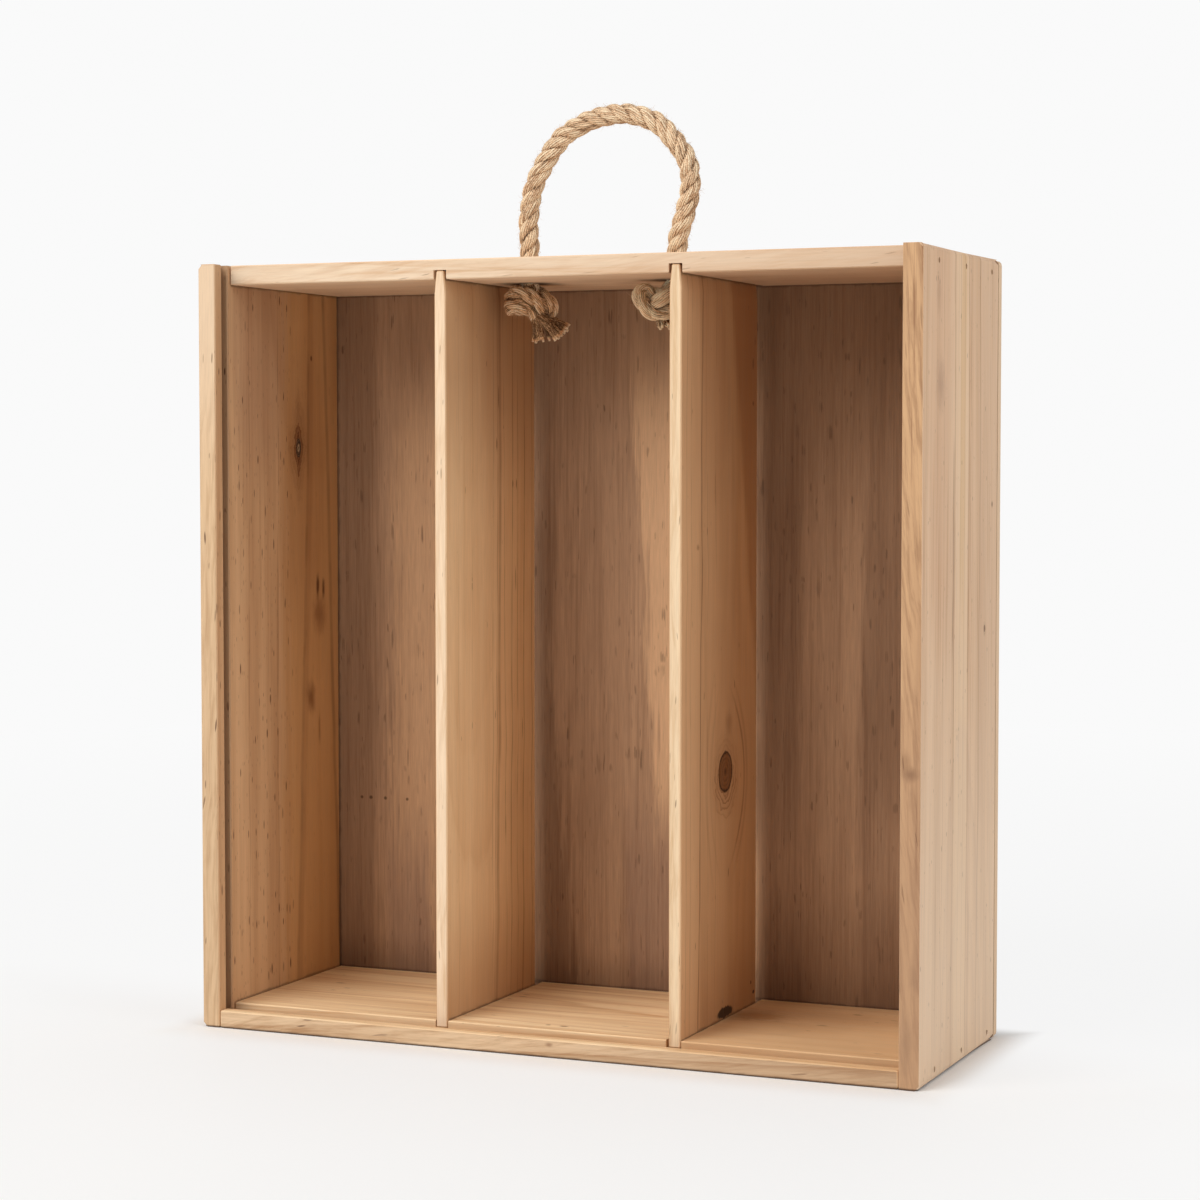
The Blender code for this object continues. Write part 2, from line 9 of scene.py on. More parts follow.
import bpy
import numpy as np
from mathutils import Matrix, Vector


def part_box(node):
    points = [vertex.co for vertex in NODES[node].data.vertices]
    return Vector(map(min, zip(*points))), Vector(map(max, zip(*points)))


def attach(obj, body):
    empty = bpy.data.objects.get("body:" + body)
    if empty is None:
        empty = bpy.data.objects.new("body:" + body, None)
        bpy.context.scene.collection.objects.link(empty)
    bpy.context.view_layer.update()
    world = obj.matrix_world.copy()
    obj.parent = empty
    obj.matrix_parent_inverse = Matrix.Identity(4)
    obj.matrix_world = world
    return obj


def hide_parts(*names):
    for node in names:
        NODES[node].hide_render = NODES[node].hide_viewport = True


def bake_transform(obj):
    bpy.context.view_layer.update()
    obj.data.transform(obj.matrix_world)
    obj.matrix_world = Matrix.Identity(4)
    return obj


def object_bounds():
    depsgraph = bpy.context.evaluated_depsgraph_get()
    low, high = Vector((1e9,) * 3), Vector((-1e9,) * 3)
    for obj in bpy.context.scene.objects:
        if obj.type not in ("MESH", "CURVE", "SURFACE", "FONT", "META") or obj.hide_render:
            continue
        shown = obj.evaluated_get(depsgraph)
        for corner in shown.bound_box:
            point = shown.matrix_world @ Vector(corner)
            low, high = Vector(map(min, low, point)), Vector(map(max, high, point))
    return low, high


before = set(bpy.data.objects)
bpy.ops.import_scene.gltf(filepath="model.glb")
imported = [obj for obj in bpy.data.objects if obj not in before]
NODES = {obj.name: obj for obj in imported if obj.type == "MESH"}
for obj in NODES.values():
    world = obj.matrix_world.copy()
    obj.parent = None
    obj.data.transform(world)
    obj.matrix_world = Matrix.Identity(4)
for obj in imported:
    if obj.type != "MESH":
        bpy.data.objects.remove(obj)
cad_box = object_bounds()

X, Y, Z = 0, 1, 2

# Camera, fitted to the case's corners
CAMERA_PLACE = (0.5016, -1.1709, 0.2621)
CAMERA_YAW_DEGREES = 23.12
CAMERA_PITCH_DEGREES = -2.90
CAMERA_LENS = 84.25
SENSOR_WIDTH = 36.0
CLIP_END = 50.0

# Faces of the solids that the finish is placed by
BOARD_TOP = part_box("top_board")[1][Z]
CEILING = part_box("top_board")[0][Z]
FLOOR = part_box("bottom_board")[1][Z]
BACK_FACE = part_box("back_panel")[0][Y]
LEFT_INNER_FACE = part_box("left_side")[1][X]
RIGHT_INNER_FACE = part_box("right_side")[0][X]
RIGHT_OUTER_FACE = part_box("right_side")[1][X]
DIVIDER_LEFT_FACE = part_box("divider_left")[1][X]
DIVIDER_RIGHT_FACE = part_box("divider_right")[1][X]

# Rope: its route and sizes are those of the solids. Routes are in millimetres
MILLIMETRE = 0.001
ROPE_DIAMETER = 0.0085
KNOT_DIAMETER = 0.0068
ROPE_Y = 0.0
LEFT_HOLE_X = -0.0331
RIGHT_HOLE_X = 0.0385
HOLES = (LEFT_HOLE_X, RIGHT_HOLE_X)
ARCH_MIDDLE_X = (LEFT_HOLE_X + RIGHT_HOLE_X) / 2
ARCH_ROUTE = [
    (-36.0, 10.1), (-36.3, 20.0), (-34.6, 31.7), (-31.4, 40.2),
    (-26.3, 48.7), (-20.2, 56.2), (-13.1, 60.8), (-3.7, 64.5),
    (10.3, 66.2), (24.2, 62.7), (32.5, 56.0), (40.3, 45.9),
    (42.6, 37.4), (42.2, 28.9), (40.1, 20.6), (37.5, 12.0),
]

# The knots' routes: right, forward and up from the hole's foot, in a frame turned about Z
KNOT_TURN_DEGREES = 23.12
LEFT_KNOT_ROUTE = [
    (0.5, -0.4, -1.2), (3.0, -1.0, -3.8), (6.6, 0.8, -6.0),
    (9.2, 1.4, -9.2), (8.8, -1.8, -12.4), (3.6, -5.0, -12.2),
    (-3.4, -5.2, -10.0), (-8.0, -2.2, -6.6), (-6.6, 2.0, -4.0),
    (-1.8, 4.6, -4.6), (3.0, 4.8, -8.2), (6.0, 1.6, -11.2),
    (3.6, -3.0, -10.0), (-3.0, -4.6, -10.4), (-8.6, -1.6, -10.8),
    (-7.6, 2.6, -9.8), (-3.6, 3.6, -10.0), (0.4, 1.8, -11.6),
    (3.0, 0.6, -14.6),
]
RIGHT_KNOT_ROUTE = [
    (-0.4, -0.4, -1.2), (-2.6, -0.8, -4.0), (-6.4, -1.0, -6.4),
    (-10.4, -0.6, -6.6), (-13.6, -0.2, -4.4), (-16.2, 1.4, -6.6),
    (-14.6, 3.2, -11.0), (-10.4, 3.6, -14.8), (-5.6, 3.4, -14.6),
    (-0.6, 2.0, -12.2), (2.0, -0.8, -8.4), (1.2, 1.0, -4.8),
    (-1.8, 4.0, -5.0), (-5.6, 5.2, -8.0), (-9.2, 3.4, -11.0),
    (-10.0, -1.0, -13.0), (-8.4, -2.4, -15.6),
]

# The tails' strands: where each goes from the knot to its cut end, in the same frame
LEFT_TAIL_ROUTES = [
    [(0.6, 0.8, -11.0), (2.0, 1.4, -14.2), (3.4, 1.6, -19.0), (4.1, 1.3, -26.6)],
    [(3.0, 0.6, -12.2), (6.2, 1.8, -16.2), (9.8, 2.2, -20.0), (13.4, 2.2, -24.6)],
    [(4.4, -2.2, -11.6), (9.4, -2.0, -16.0), (13.4, -2.0, -18.2), (17.2, -2.2, -20.4)],
]
RIGHT_TAIL_ROUTES = [
    [(-8.0, -0.6, -14.6), (-7.0, 0.6, -17.0), (-5.8, 1.4, -19.0), (-5.0, 1.6, -21.2)],
    [(-6.6, -2.2, -14.8), (-4.8, -1.2, -17.2), (-3.2, -0.6, -19.0), (-2.2, -0.4, -20.8)],
    [(-6.2, -4.0, -14.2), (-3.2, -3.6, -16.0), (-1.0, -3.0, -17.4), (0.8, -2.8, -18.8)],
]


# Lines and frames along them

CURVE_STEPS = 12


def catmull_rom(points):
    """A smooth curve through the points, each stretch divided into equal steps."""
    points = np.asarray(points, float)
    ends = np.vstack([2 * points[0] - points[1], points, 2 * points[-1] - points[-2]])
    t = (np.arange(CURVE_STEPS) / CURVE_STEPS)[:, None]
    found = []
    for a, b, c, d in zip(ends, ends[1:], ends[2:], ends[3:]):
        cubic = (-a + 3 * b - 3 * c + d) * t**3
        found.append((2 * b + (c - a) * t + (2 * a - 5 * b + 4 * c - d) * t**2 + cubic) / 2)
    return np.vstack([*found, points[-1:]])


def run_along(line):
    """Distance run at each point of a line."""
    return np.concatenate([[0.0], np.cumsum(np.linalg.norm(np.diff(line, axis=0), axis=1))])


def rope_line(points):
    """Points along the curve, as near RING_SPACING apart as divides its length evenly."""
    line = catmull_rom(points)
    run = run_along(line)
    places = np.linspace(0, run[-1], max(3, round(run[-1] / RING_SPACING)))
    return np.stack([np.interp(places, run, line[:, axis]) for axis in range(3)], axis=1)


def unit(vectors):
    return vectors / np.linalg.norm(vectors, axis=-1, keepdims=True)


def frames_along(line, first_side=(0.0, 1.0, 0.0)):
    """Tangent, side and other side at each point, turned as little as can be from one to the next."""
    tangents = unit(np.gradient(line, axis=0))
    side = np.asarray(first_side, float)
    sides = []
    for tangent in tangents:
        side = side - tangent * (side @ tangent)
        side = side / np.linalg.norm(side)
        sides.append(side)
    sides = np.array(sides)
    return tangents, sides, np.cross(tangents, sides)


def spokes(angles, sides, others):
    """Directions out from a line: at each point the angle from its side towards the other side."""
    return np.cos(angles)[..., None] * sides + np.sin(angles)[..., None] * others


def wander(count, step, rng):
    """Smooth random numbers in -1 to 1, one for each place, that change over about so many places."""
    knots = rng.uniform(-1, 1, count // step + 3)
    places = np.arange(count) / step
    index = places.astype(int)
    share = places - index
    share = share * share * (3 - 2 * share)
    return knots[index] * (1 - share) + knots[index + 1] * share


SHARP_DEGREES = 75


class MeshData:
    """Points and faces of one piece, gathered tube by tube, with what its material reads."""

    def __init__(self):
        self.points, self.faces, self.fibre, self.relief_and_shade = [], [], [], []
        self.count = 0

    def add(self, rings, fibre, relief_and_shade):
        """A closed tube: rings of points, each as (ring, place round it, xyz)."""
        many, round_it = rings.shape[:2]
        index = self.count + np.arange(many * round_it).reshape(many, round_it)
        after = np.roll(index, -1, axis=1)
        quads = np.stack([index[:-1], after[:-1], after[1:], index[1:]], axis=-1)
        self.faces += quads.reshape(-1, 4).tolist()
        self.faces += [index[0][::-1].tolist(), index[-1].tolist()]
        self.points.append(rings.reshape(-1, 3))
        self.fibre.append(fibre.reshape(-1, 3))
        self.relief_and_shade.append(np.broadcast_to(relief_and_shade, (many, round_it)).reshape(-1))
        self.count += many * round_it

    def build(self, name, material):
        mesh = bpy.data.meshes.new(name)
        mesh.from_pydata(np.vstack(self.points).tolist(), [], self.faces)
        mesh.materials.append(material)
        fibre = mesh.attributes.new("fibre", "FLOAT_VECTOR", "POINT")
        fibre.data.foreach_set("vector", np.vstack(self.fibre).astype(np.float32).ravel())
        relief_and_shade = mesh.attributes.new("relief_and_shade", "FLOAT", "POINT")
        relief_and_shade.data.foreach_set("value", np.concatenate(self.relief_and_shade).astype(np.float32))
        mesh.shade_smooth()
        mesh.set_sharp_from_angle(angle=math.radians(SHARP_DEGREES))
        obj = bpy.data.objects.new(name, mesh)
        bpy.context.scene.collection.objects.link(obj)
        return obj


# Rope: strands laid round its line, each of yarns that turn about it, and loose hairs

RING_SPACING = 0.0007
STRANDS = 3
LAY_LENGTH = 0.0212
KNOT_LAY_LENGTH = 0.023
STRAND_RADIUS_SHARE = 0.295
STRAND_OFFSET_SHARE = 0.230
LAY_WANDER = 0.12
OFFSET_WANDER = 0.04
YARNS = 15
KNOT_YARNS = 13
YARN_STEPS = 6
YARN_TURN_LENGTH = 0.0185
YARN_DEPTH = 0.00028
YARN_WIDTHS = (0.75, 1.25)
TURN_WANDER = 0.10
RADIUS_WANDER = 0.025
TURN_RINGS, LIFT_RINGS, RADIUS_RINGS, LAY_RINGS, OFFSET_RINGS = 11, 5, 12, 15, 20
SURFACE_NOISE = 0.00005
RELIEF_FLOOR = 0.12
RELIEF_LEVEL = 0.92
RELIEF_LIFT = 0.60
RELIEF_NOISE = 0.24
RELIEF_TOP = 1.2
# Painted shade: how far out the hollows between strands darken, and where passes touch: how far along
# counts as its own pass, how far the shade fades, how much brightness stays
VALLEY_SHARES = (0.75, 0.92)
CONTACT_SKIP = 1.25
CONTACT_FADE = 0.40
CONTACT_DARK = 0.12


def yarn_backs(yarns, rng):
    """Angles round a strand and the yarns' rounded backs there: 0 in a crevice, 1 on a crest."""
    widths = rng.uniform(*YARN_WIDTHS, yarns)
    edges = np.concatenate([[0.0], np.cumsum(widths)]) / widths.sum() * 2 * math.pi
    shares = np.arange(YARN_STEPS) / YARN_STEPS
    angles = (edges[:-1, None] + np.diff(edges)[:, None] * shares[None, :]).ravel()
    return angles, np.tile(1 - np.abs(2 * shares - 1) ** 3, yarns)


def clearance(points, line, widths):
    """How clear each point stands of the rope's other passes, for the painted contact shade: 0 where they
    touch, 1 in the open.
    """
    run = run_along(line)
    own = np.abs(run[:, None] - run[None, :]) < CONTACT_SKIP * widths
    away = np.linalg.norm(points[:, :, None] - line[None, None], axis=-1) / (widths / 2)
    away = np.where(own[:, None], np.inf, away).min(axis=-1)
    return np.clip((away - 1) / CONTACT_FADE, 0, 1)


def strand(
    data, centre, outward, radii, yarns, turn_length, rng,
    depth=YARN_DEPTH, tips=0.0, rope=None, shade=1.0, hollow=1.0,
):
    """One strand: a tube whose outside is ridged by its yarns, which turn about it as it runs.

    rope, where given, is the rope's own line and its width, so that the hollows between strands, as
    far as hollow says, and the places where its passes touch darken with painted shade.
    """
    tangents = unit(np.gradient(centre, axis=0))
    outward = unit(outward - tangents * np.sum(outward * tangents, axis=1, keepdims=True))
    other = np.cross(tangents, outward)
    run = run_along(centre)
    angles, backs = yarn_backs(yarns, rng)
    turn = angles[None, :] - 2 * math.pi * run[:, None] / turn_length
    turn = turn + TURN_WANDER * wander(len(run), TURN_RINGS, rng)[:, None]
    lift = np.stack([wander(len(run), LIFT_RINGS, rng) for _ in range(yarns)], axis=1)
    lift = RELIEF_LEVEL + RELIEF_LIFT * np.repeat(lift, YARN_STEPS, axis=1)
    broken = 1 + rng.normal(0, RELIEF_NOISE, turn.shape)
    relief_and_shade = (RELIEF_FLOOR + (1 - RELIEF_FLOOR) * backs[None, :]) * lift * broken
    relief_and_shade = np.clip(relief_and_shade, 0, RELIEF_TOP)
    rough = rng.normal(0, SURFACE_NOISE, turn.shape)
    swell = 1 + RADIUS_WANDER * wander(len(run), RADIUS_RINGS, rng)[:, None]
    radius = radii[:, None] * swell - depth * (1 - relief_and_shade) + rough
    rings = centre[:, None] + radius[..., None] * spokes(turn, outward[:, None], other[:, None])
    if rope is not None:
        line, widths = rope
        # Painted shade in the hollows between strands and where the rope's passes touch
        away = np.linalg.norm(rings - line[:, None], axis=-1) / (widths[:, None] / 2)
        low, high = VALLEY_SHARES
        relief_and_shade = relief_and_shade * (1 - hollow + hollow * np.clip((away - low) / (high - low), 0.0, 1.0))
        relief_and_shade = relief_and_shade * (CONTACT_DARK + (1 - CONTACT_DARK) * clearance(rings, line, widths))
    around = np.broadcast_to(angles, turn.shape)
    mean = float(np.mean(radii))
    along = np.broadcast_to(run[:, None] + rng.uniform(0, 3), turn.shape)
    fibre = np.stack([mean * np.cos(around), mean * np.sin(around), along], axis=-1)
    data.add(rings, fibre, relief_and_shade * shade + tips)


def laid_rope(data, line, widths, lay, yarns, rng, hollow=1.0):
    """Strands laid round the line, each leading up and to the right as seen from outside."""
    _, sides, others = frames_along(line)
    run = run_along(line)
    for number in range(STRANDS):
        angle = 2 * math.pi * (number / STRANDS + run / lay)
        angle = angle + LAY_WANDER * wander(len(run), LAY_RINGS, rng)
        outward = spokes(angle, sides, others)
        off = STRAND_OFFSET_SHARE * widths * (1 + OFFSET_WANDER * wander(len(run), OFFSET_RINGS, rng))
        centre = line + off[:, None] * outward
        radii = STRAND_RADIUS_SHARE * widths
        strand(
            data, centre, outward, radii, yarns, YARN_TURN_LENGTH, rng,
            rope=(line, widths), hollow=hollow,
        )


HAIR_STEPS = 6
HAIR_SIDES = 3
HAIR_RADII = (0.00004, 0.00007)
HAIR_ROOT_SHARE = 0.42
HAIR_TAPER = 0.4
HAIR_ALONG = (0.4, 1.0)
HAIR_ASIDE = 0.7
HAIR_LIFT = (0.1, 0.9)
HAIR_BEND = (0.2, 0.9)
HAIR_BEND_SHARE = 0.6
HAIR_CURL = (0.0, 0.22)
HAIR_LENGTH_SHARES = (0.15, 1.0)
HAIR_LENGTH_POWER = 1.6


def hairs(data, line, widths, count, reach, rng):
    """Loose fibres that leave the surface at a low slant and curl."""
    tangents, sides, others = frames_along(line)
    share = np.linspace(0, 1, HAIR_STEPS)[:, None]
    for _ in range(count):
        at = rng.integers(2, len(line) - 2)
        angle = rng.uniform(0, 2 * math.pi)
        outward = math.cos(angle) * sides[at] + math.sin(angle) * others[at]
        around = np.cross(tangents[at], outward)
        way = tangents[at] * rng.choice((-1, 1)) * rng.uniform(*HAIR_ALONG)
        way = way + around * rng.normal(0, HAIR_ASIDE)
        way = unit(way + outward * rng.uniform(*HAIR_LIFT))
        bend = unit(rng.normal(0, 1, 3)) * rng.uniform(*HAIR_BEND)
        curl = unit(rng.normal(0, 1, 3)) * rng.uniform(*HAIR_CURL)
        length = reach * rng.uniform(*HAIR_LENGTH_SHARES) ** HAIR_LENGTH_POWER
        root = line[at] + outward * widths[at] * HAIR_ROOT_SHARE
        path = way * share + bend * share**2 * HAIR_BEND_SHARE + curl * np.sin(share * math.pi * 2)
        hair(data, root + length * path, rng.uniform(*HAIR_RADII), rng)


def hair(data, line, radius, rng):
    """A tapering fibre of three sides."""
    _, sides, others = frames_along(line, first_side=unit(rng.normal(0, 1, 3)))
    angles = 2 * math.pi * np.arange(HAIR_SIDES) / HAIR_SIDES
    taper = np.linspace(1, HAIR_TAPER, len(line))[:, None, None] * radius
    rings = line[:, None] + taper * spokes(angles[None, :], sides[:, None], others[:, None])
    data.add(rings, np.full(rings.shape, rng.uniform(0, 1)), 1.0)


# Materials


def linear(red, green, blue):
    """A colour given in 0 to 255 as a screen shows it, as the shader's own numbers."""
    shares = (value / 255 for value in (red, green, blue))
    return tuple(s / 12.92 if s <= 0.04045 else ((s + 0.055) / 1.055) ** 2.4 for s in shares)


class Value:
    """What a material's nodes work out at each point, so that sums of it are written as sums."""

    def __init__(self, graph, socket):
        self.graph, self.socket = graph, socket

    def __add__(self, other):
        return self.graph.math("ADD", self, other)

    def __radd__(self, other):
        return self.graph.math("ADD", other, self)

    def __sub__(self, other):
        return self.graph.math("SUBTRACT", self, other)

    def __rsub__(self, other):
        return self.graph.math("SUBTRACT", other, self)

    def __mul__(self, other):
        return self.graph.math("MULTIPLY", self, other)

    def __rmul__(self, other):
        return self.graph.math("MULTIPLY", other, self)

    def __truediv__(self, other):
        return self.graph.math("DIVIDE", self, other)

    def __lt__(self, other):
        return self.graph.math("LESS_THAN", self, other)

    def __gt__(self, other):
        return self.graph.math("GREATER_THAN", self, other)

    def __abs__(self):
        return self.graph.math("ABSOLUTE", self)


class Graph:
    """A material's nodes, with a short call for each kind that the materials use.

    A colour is a tuple in 0 to 255, as a screen shows it, and a place is a tuple of three values.
    """

    def __init__(self, name):
        self.material = bpy.data.materials.new(name)
        self.material.use_nodes = True
        self.tree = self.material.node_tree
        self.shader = self.tree.nodes["Principled BSDF"]

    def node(self, kind, **settings):
        made = self.tree.nodes.new(kind)
        for key, value in settings.items():
            setattr(made, key, value)
        return made

    def put(self, socket, value):
        if isinstance(value, Value):
            self.tree.links.new(value.socket, socket)
        elif isinstance(value, tuple) and socket.type == "RGBA":
            socket.default_value = (*linear(*value), 1.0)
        elif isinstance(value, tuple):
            place = self.node("ShaderNodeCombineXYZ")
            self.put(socket, self.fill(place, dict(enumerate(value))))
        else:
            socket.default_value = value

    def fill(self, node, values, output=0):
        """Puts each value on the node's input of that name or number, and gives an output."""
        for key, value in values.items():
            self.put(node.inputs[key], value)
        return Value(self, node.outputs[output])

    def finish(self, looks, height=None, distance=0.0, strength=1.0):
        """Puts the looks on the shader, and the height as a bump."""
        self.fill(self.shader, looks)
        if height is not None:
            settings = {"Height": height, "Distance": distance, "Strength": strength}
            self.put(self.shader.inputs["Normal"], self.fill(self.node("ShaderNodeBump"), settings))
        return self.material

    def math(self, operation, *values):
        made = self.node("ShaderNodeMath", operation=operation)
        return self.fill(made, dict(enumerate(values)))

    def lesser(self, first, second):
        return self.math("MINIMUM", first, second)

    def greater(self, first, second):
        return self.math("MAXIMUM", first, second)

    def parts(self, vector):
        made = self.node("ShaderNodeSeparateXYZ")
        self.put(made.inputs[0], vector)
        return tuple(Value(self, socket) for socket in made.outputs)

    def texture_places(self, kind):
        return self.parts(Value(self, self.node("ShaderNodeTexCoord").outputs[kind]))

    def noise(self, place, scale=1.0, detail=2.0, roughness=0.5, output="Fac"):
        settings = {"Vector": place, "Scale": scale, "Detail": detail, "Roughness": roughness}
        return self.fill(self.node("ShaderNodeTexNoise"), settings, output)

    def noises(self, place, scale, detail):
        """Three noises at once."""
        return self.parts(self.noise(place, scale, detail, output="Color"))

    def span(self, value, low, high, to_low=0.0, to_high=1.0, kind="SMOOTHSTEP"):
        """Maps low..high to to_low..to_high and holds the ends."""
        names = ("Value", "From Min", "From Max", "To Min", "To Max")
        made = self.node("ShaderNodeMapRange", interpolation_type=kind)
        return self.fill(made, dict(zip(names, (value, low, high, to_low, to_high))))

    def ramp(self, value, low, high, to_low, to_high):
        return self.span(value, low, high, to_low, to_high, kind="LINEAR")

    def mix(self, share, first, second, blend="MIX"):
        made = self.node("ShaderNodeMix", data_type="RGBA", blend_type=blend)
        self.put(made.inputs[0], share)
        colours = [socket for socket in made.inputs if socket.type == "RGBA"]
        self.put(colours[0], first)
        self.put(colours[1], second)
        return Value(self, next(socket for socket in made.outputs if socket.type == "RGBA"))

    def toned(self, colour, tone):
        """The colour, lighter or darker by the tone."""
        grey = self.fill(self.node("ShaderNodeCombineColor"), dict.fromkeys(range(3), tone))
        return self.mix(1.0, colour, grey, "MULTIPLY")

    def curve(self, value, stops):
        """A grey ramp: stops are (place, height)."""
        made = self.node("ShaderNodeValToRGB")
        elements = made.color_ramp.elements
        while len(elements) < len(stops):
            elements.new(0.5)
        for element, (place, height) in zip(elements, stops):
            element.position = place
            element.color = (height, height, height, 1.0)
        return self.fill(made, {0: value})


# Boards: where their shader is, and the marks on them

FACE_DEPTH = 0.0012
FRONT_DEPTH = 0.0030
SEAM_FRONT = -0.0470
GROOVE_REACH = 0.0058
LINE_RISE = 0.35
LINE_FADE = 0.025
SEAM_COLOUR = (66, 42, 26)
KNOT_HEART = (136, 92, 56)
KNOT_DARK = (48, 27, 15)
KNOT_HALO = (132, 84, 46)
KNOT_FLAME = (104, 56, 24)
KNOT_PALE_RIM = (186, 160, 128)
RESIN = (84, 50, 28)


class Board:
    """Places on a board for its shader: across, through and along its grain, and the way a face looks."""

    def __init__(self, g, along, across, seed, front_y=1.0):
        self.g, self.seed = g, seed
        self.places = g.texture_places("Object")
        self.u, self.v, self.w = (self.places[axis] for axis in (across, 3 - along - across, along))
        facing = g.texture_places("Normal")
        foremost = self.places[Y] < front_y + FRONT_DEPTH
        self.front = g.span(facing[Y], -0.9, -0.6, 1.0, 0.0) * foremost
        self.end = g.span(abs(facing[along]), 0.75, 0.95)
        self.ragged = g.noise((self.u, self.v, self.w * 0.05), 420.0, 3.0, 0.65) - 0.5
        self.sway = g.noise((seed, self.v, self.w), 13.0) - 0.5

    def on(self, face, share):
        """The share, kept to the face at this depth."""
        if face is None:
            return share
        return share * (abs(self.v - face) < FACE_DEPTH)

    def oval(self, across, along, half_across, half_along, over=None):
        """Distance from a place, where 1 is the rim of an oval round it."""
        side = ((over or self.u) - across) * (1 / half_across)
        rise = (self.w - along) * (1 / half_along)
        return self.g.math("SQRT", side * side + rise * rise)


class Mark:
    """A tint over a board's grain: share says how strong it is at each place."""

    face = None

    def paint(self, board, colour, height):
        share = board.on(self.face, self.share(board))
        return board.g.mix(share, colour, self.colour), height


@dataclass
class Line(Mark):
    """A long line of darker grain, from one place across at the bottom to another at the top."""

    bottom: float
    top: float
    width: float
    strength: float
    colour: tuple
    face: float = None
    broken: float = 0.3
    bow: float = 0.0
    low: float = 0.0
    high: float = LINE_RISE

    def share(self, board):
        g = board.g
        rise = board.w * (1 / LINE_RISE)
        centre = self.bottom + rise * (self.top - self.bottom) + board.sway * 0.006
        if self.bow:
            centre = centre + rise * (1.0 - rise) * (4 * self.bow)
        away = abs(board.u - centre)
        line = g.span(away, self.width * 0.15, self.width, self.strength, 0.0)
        gaps = g.noise((self.bottom * 900, board.seed, board.w), 45.0)
        line = line * g.span(gaps, 0.38, 0.60, 1 - self.broken, 1.0)
        if self.low > 0.0 or self.high < LINE_RISE:
            line = line * g.span(board.w, self.low, self.low + LINE_FADE)
            line = line * g.span(board.w, self.high - LINE_FADE, self.high, 1.0, 0.0)
        return line


@dataclass
class Arc(Mark):
    """A line of grain bowed round a knot: where it stands furthest out, its bend and its reach."""

    across: float
    along: float
    bend: float
    reach: float
    width: float
    strength: float
    colour: tuple
    face: float = None

    def share(self, board):
        g = board.g
        rise = board.w - self.along
        centre = self.across - rise * rise * self.bend
        away = abs(board.u + board.ragged * 0.0016 - centre)
        line = g.span(away, self.width * 0.15, self.width, self.strength, 0.0)
        return line * g.span(abs(rise), self.reach * 0.5, self.reach, 1.0, 0.0)


@dataclass
class Band(Mark):
    """A zone along the grain with ragged edges: its low and high edge across, its foot and head, a lean."""

    low: float
    high: float
    colour: tuple
    strength: float
    face: float = None
    soft: float = 0.004
    lean: float = 0.0
    foot: float = -1.0
    head: float = 1.0
    fade: float = 0.03
    rough: float = 2.6

    def share(self, board):
        g, soft, fade = board.g, self.soft, self.fade
        edge = board.u + board.ragged * (soft * self.rough) + board.sway * 0.008
        if self.lean:
            edge = edge + board.w * -self.lean
        share = g.span(edge, self.low - soft, self.low + soft) * self.strength
        share = share * g.span(edge, self.high - soft, self.high + soft, 1.0, 0.0)
        rise = board.w + board.ragged * (fade * 1.4)
        if self.foot > -1.0:
            share = share * g.span(rise, self.foot - fade, self.foot + fade)
        if self.head < 1.0:
            share = share * g.span(rise, self.head - fade, self.head + fade, 1.0, 0.0)
        return share


@dataclass
class Stain(Mark):
    """A ragged darker spot: centre, half sizes, colour and strength, on one face or on the front edge."""

    across: float
    along: float
    half_across: float
    half_along: float
    colour: tuple
    strength: float
    face: float = None
    soft: float = 0.6
    front: bool = False

    def share(self, board):
        g = board.g
        ragged = g.noise((board.u, board.w * 0.35, board.v), 520.0)
        over = board.v if self.front else board.u
        out = board.oval(self.across, self.along, self.half_across, self.half_along, over)
        out = out + (ragged - 0.5) * 0.8
        spot = g.span(out, 1 - self.soft, 1.0 + self.soft * 0.3, 1.0, 0.0) * self.strength
        return spot * board.front if self.front else spot


@dataclass
class LightFade(Mark):
    """Painted light and shade: a slow change of tint along an axis, from start to end, on the front edge or
    on all but it.
    """

    axis: int
    start: float
    end: float
    colour: tuple
    strength: float
    front: bool = False

    def share(self, board):
        low, high = sorted((self.start, self.end))
        share = board.g.span(board.places[self.axis], low, high)
        if self.start > self.end:
            share = 1.0 - share
        return share * self.strength * (board.front if self.front else 1.0 - board.front)


@dataclass
class Seam(Mark):
    """The dark line where something meets the board: its axis and place, and how far it comes forward."""

    axis: int
    place: float
    face: float = None
    width: float = 0.0012
    strength: float = 0.45
    front: float = SEAM_FRONT
    waver: tuple = (0.55, 1.3)
    colour = SEAM_COLOUR

    def share(self, board):
        g = board.g
        uneven = g.span(g.noise(board.places, 160.0), 0.3, 0.7, *self.waver)
        away = abs(board.places[self.axis] - self.place) / uneven
        share = g.span(away, self.width * 0.2, self.width, self.strength, 0.0)
        return share * (board.places[Y] > self.front)


@dataclass
class GrooveShade(Mark):
    """Painted shade inside a milled groove, darkest at its floor: its depths from the front, its mouth's
    axis and place.
    """

    low: float
    high: float
    axis: int
    mouth: float
    colour: tuple
    strength: float

    def share(self, board):
        place, foot = board.places[self.axis], self.mouth - GROOVE_REACH
        inside = (board.places[Y] > self.low) * (board.places[Y] < self.high) * (place > foot)
        return inside * board.g.span(place, foot, self.mouth, self.strength, self.strength * 0.4)


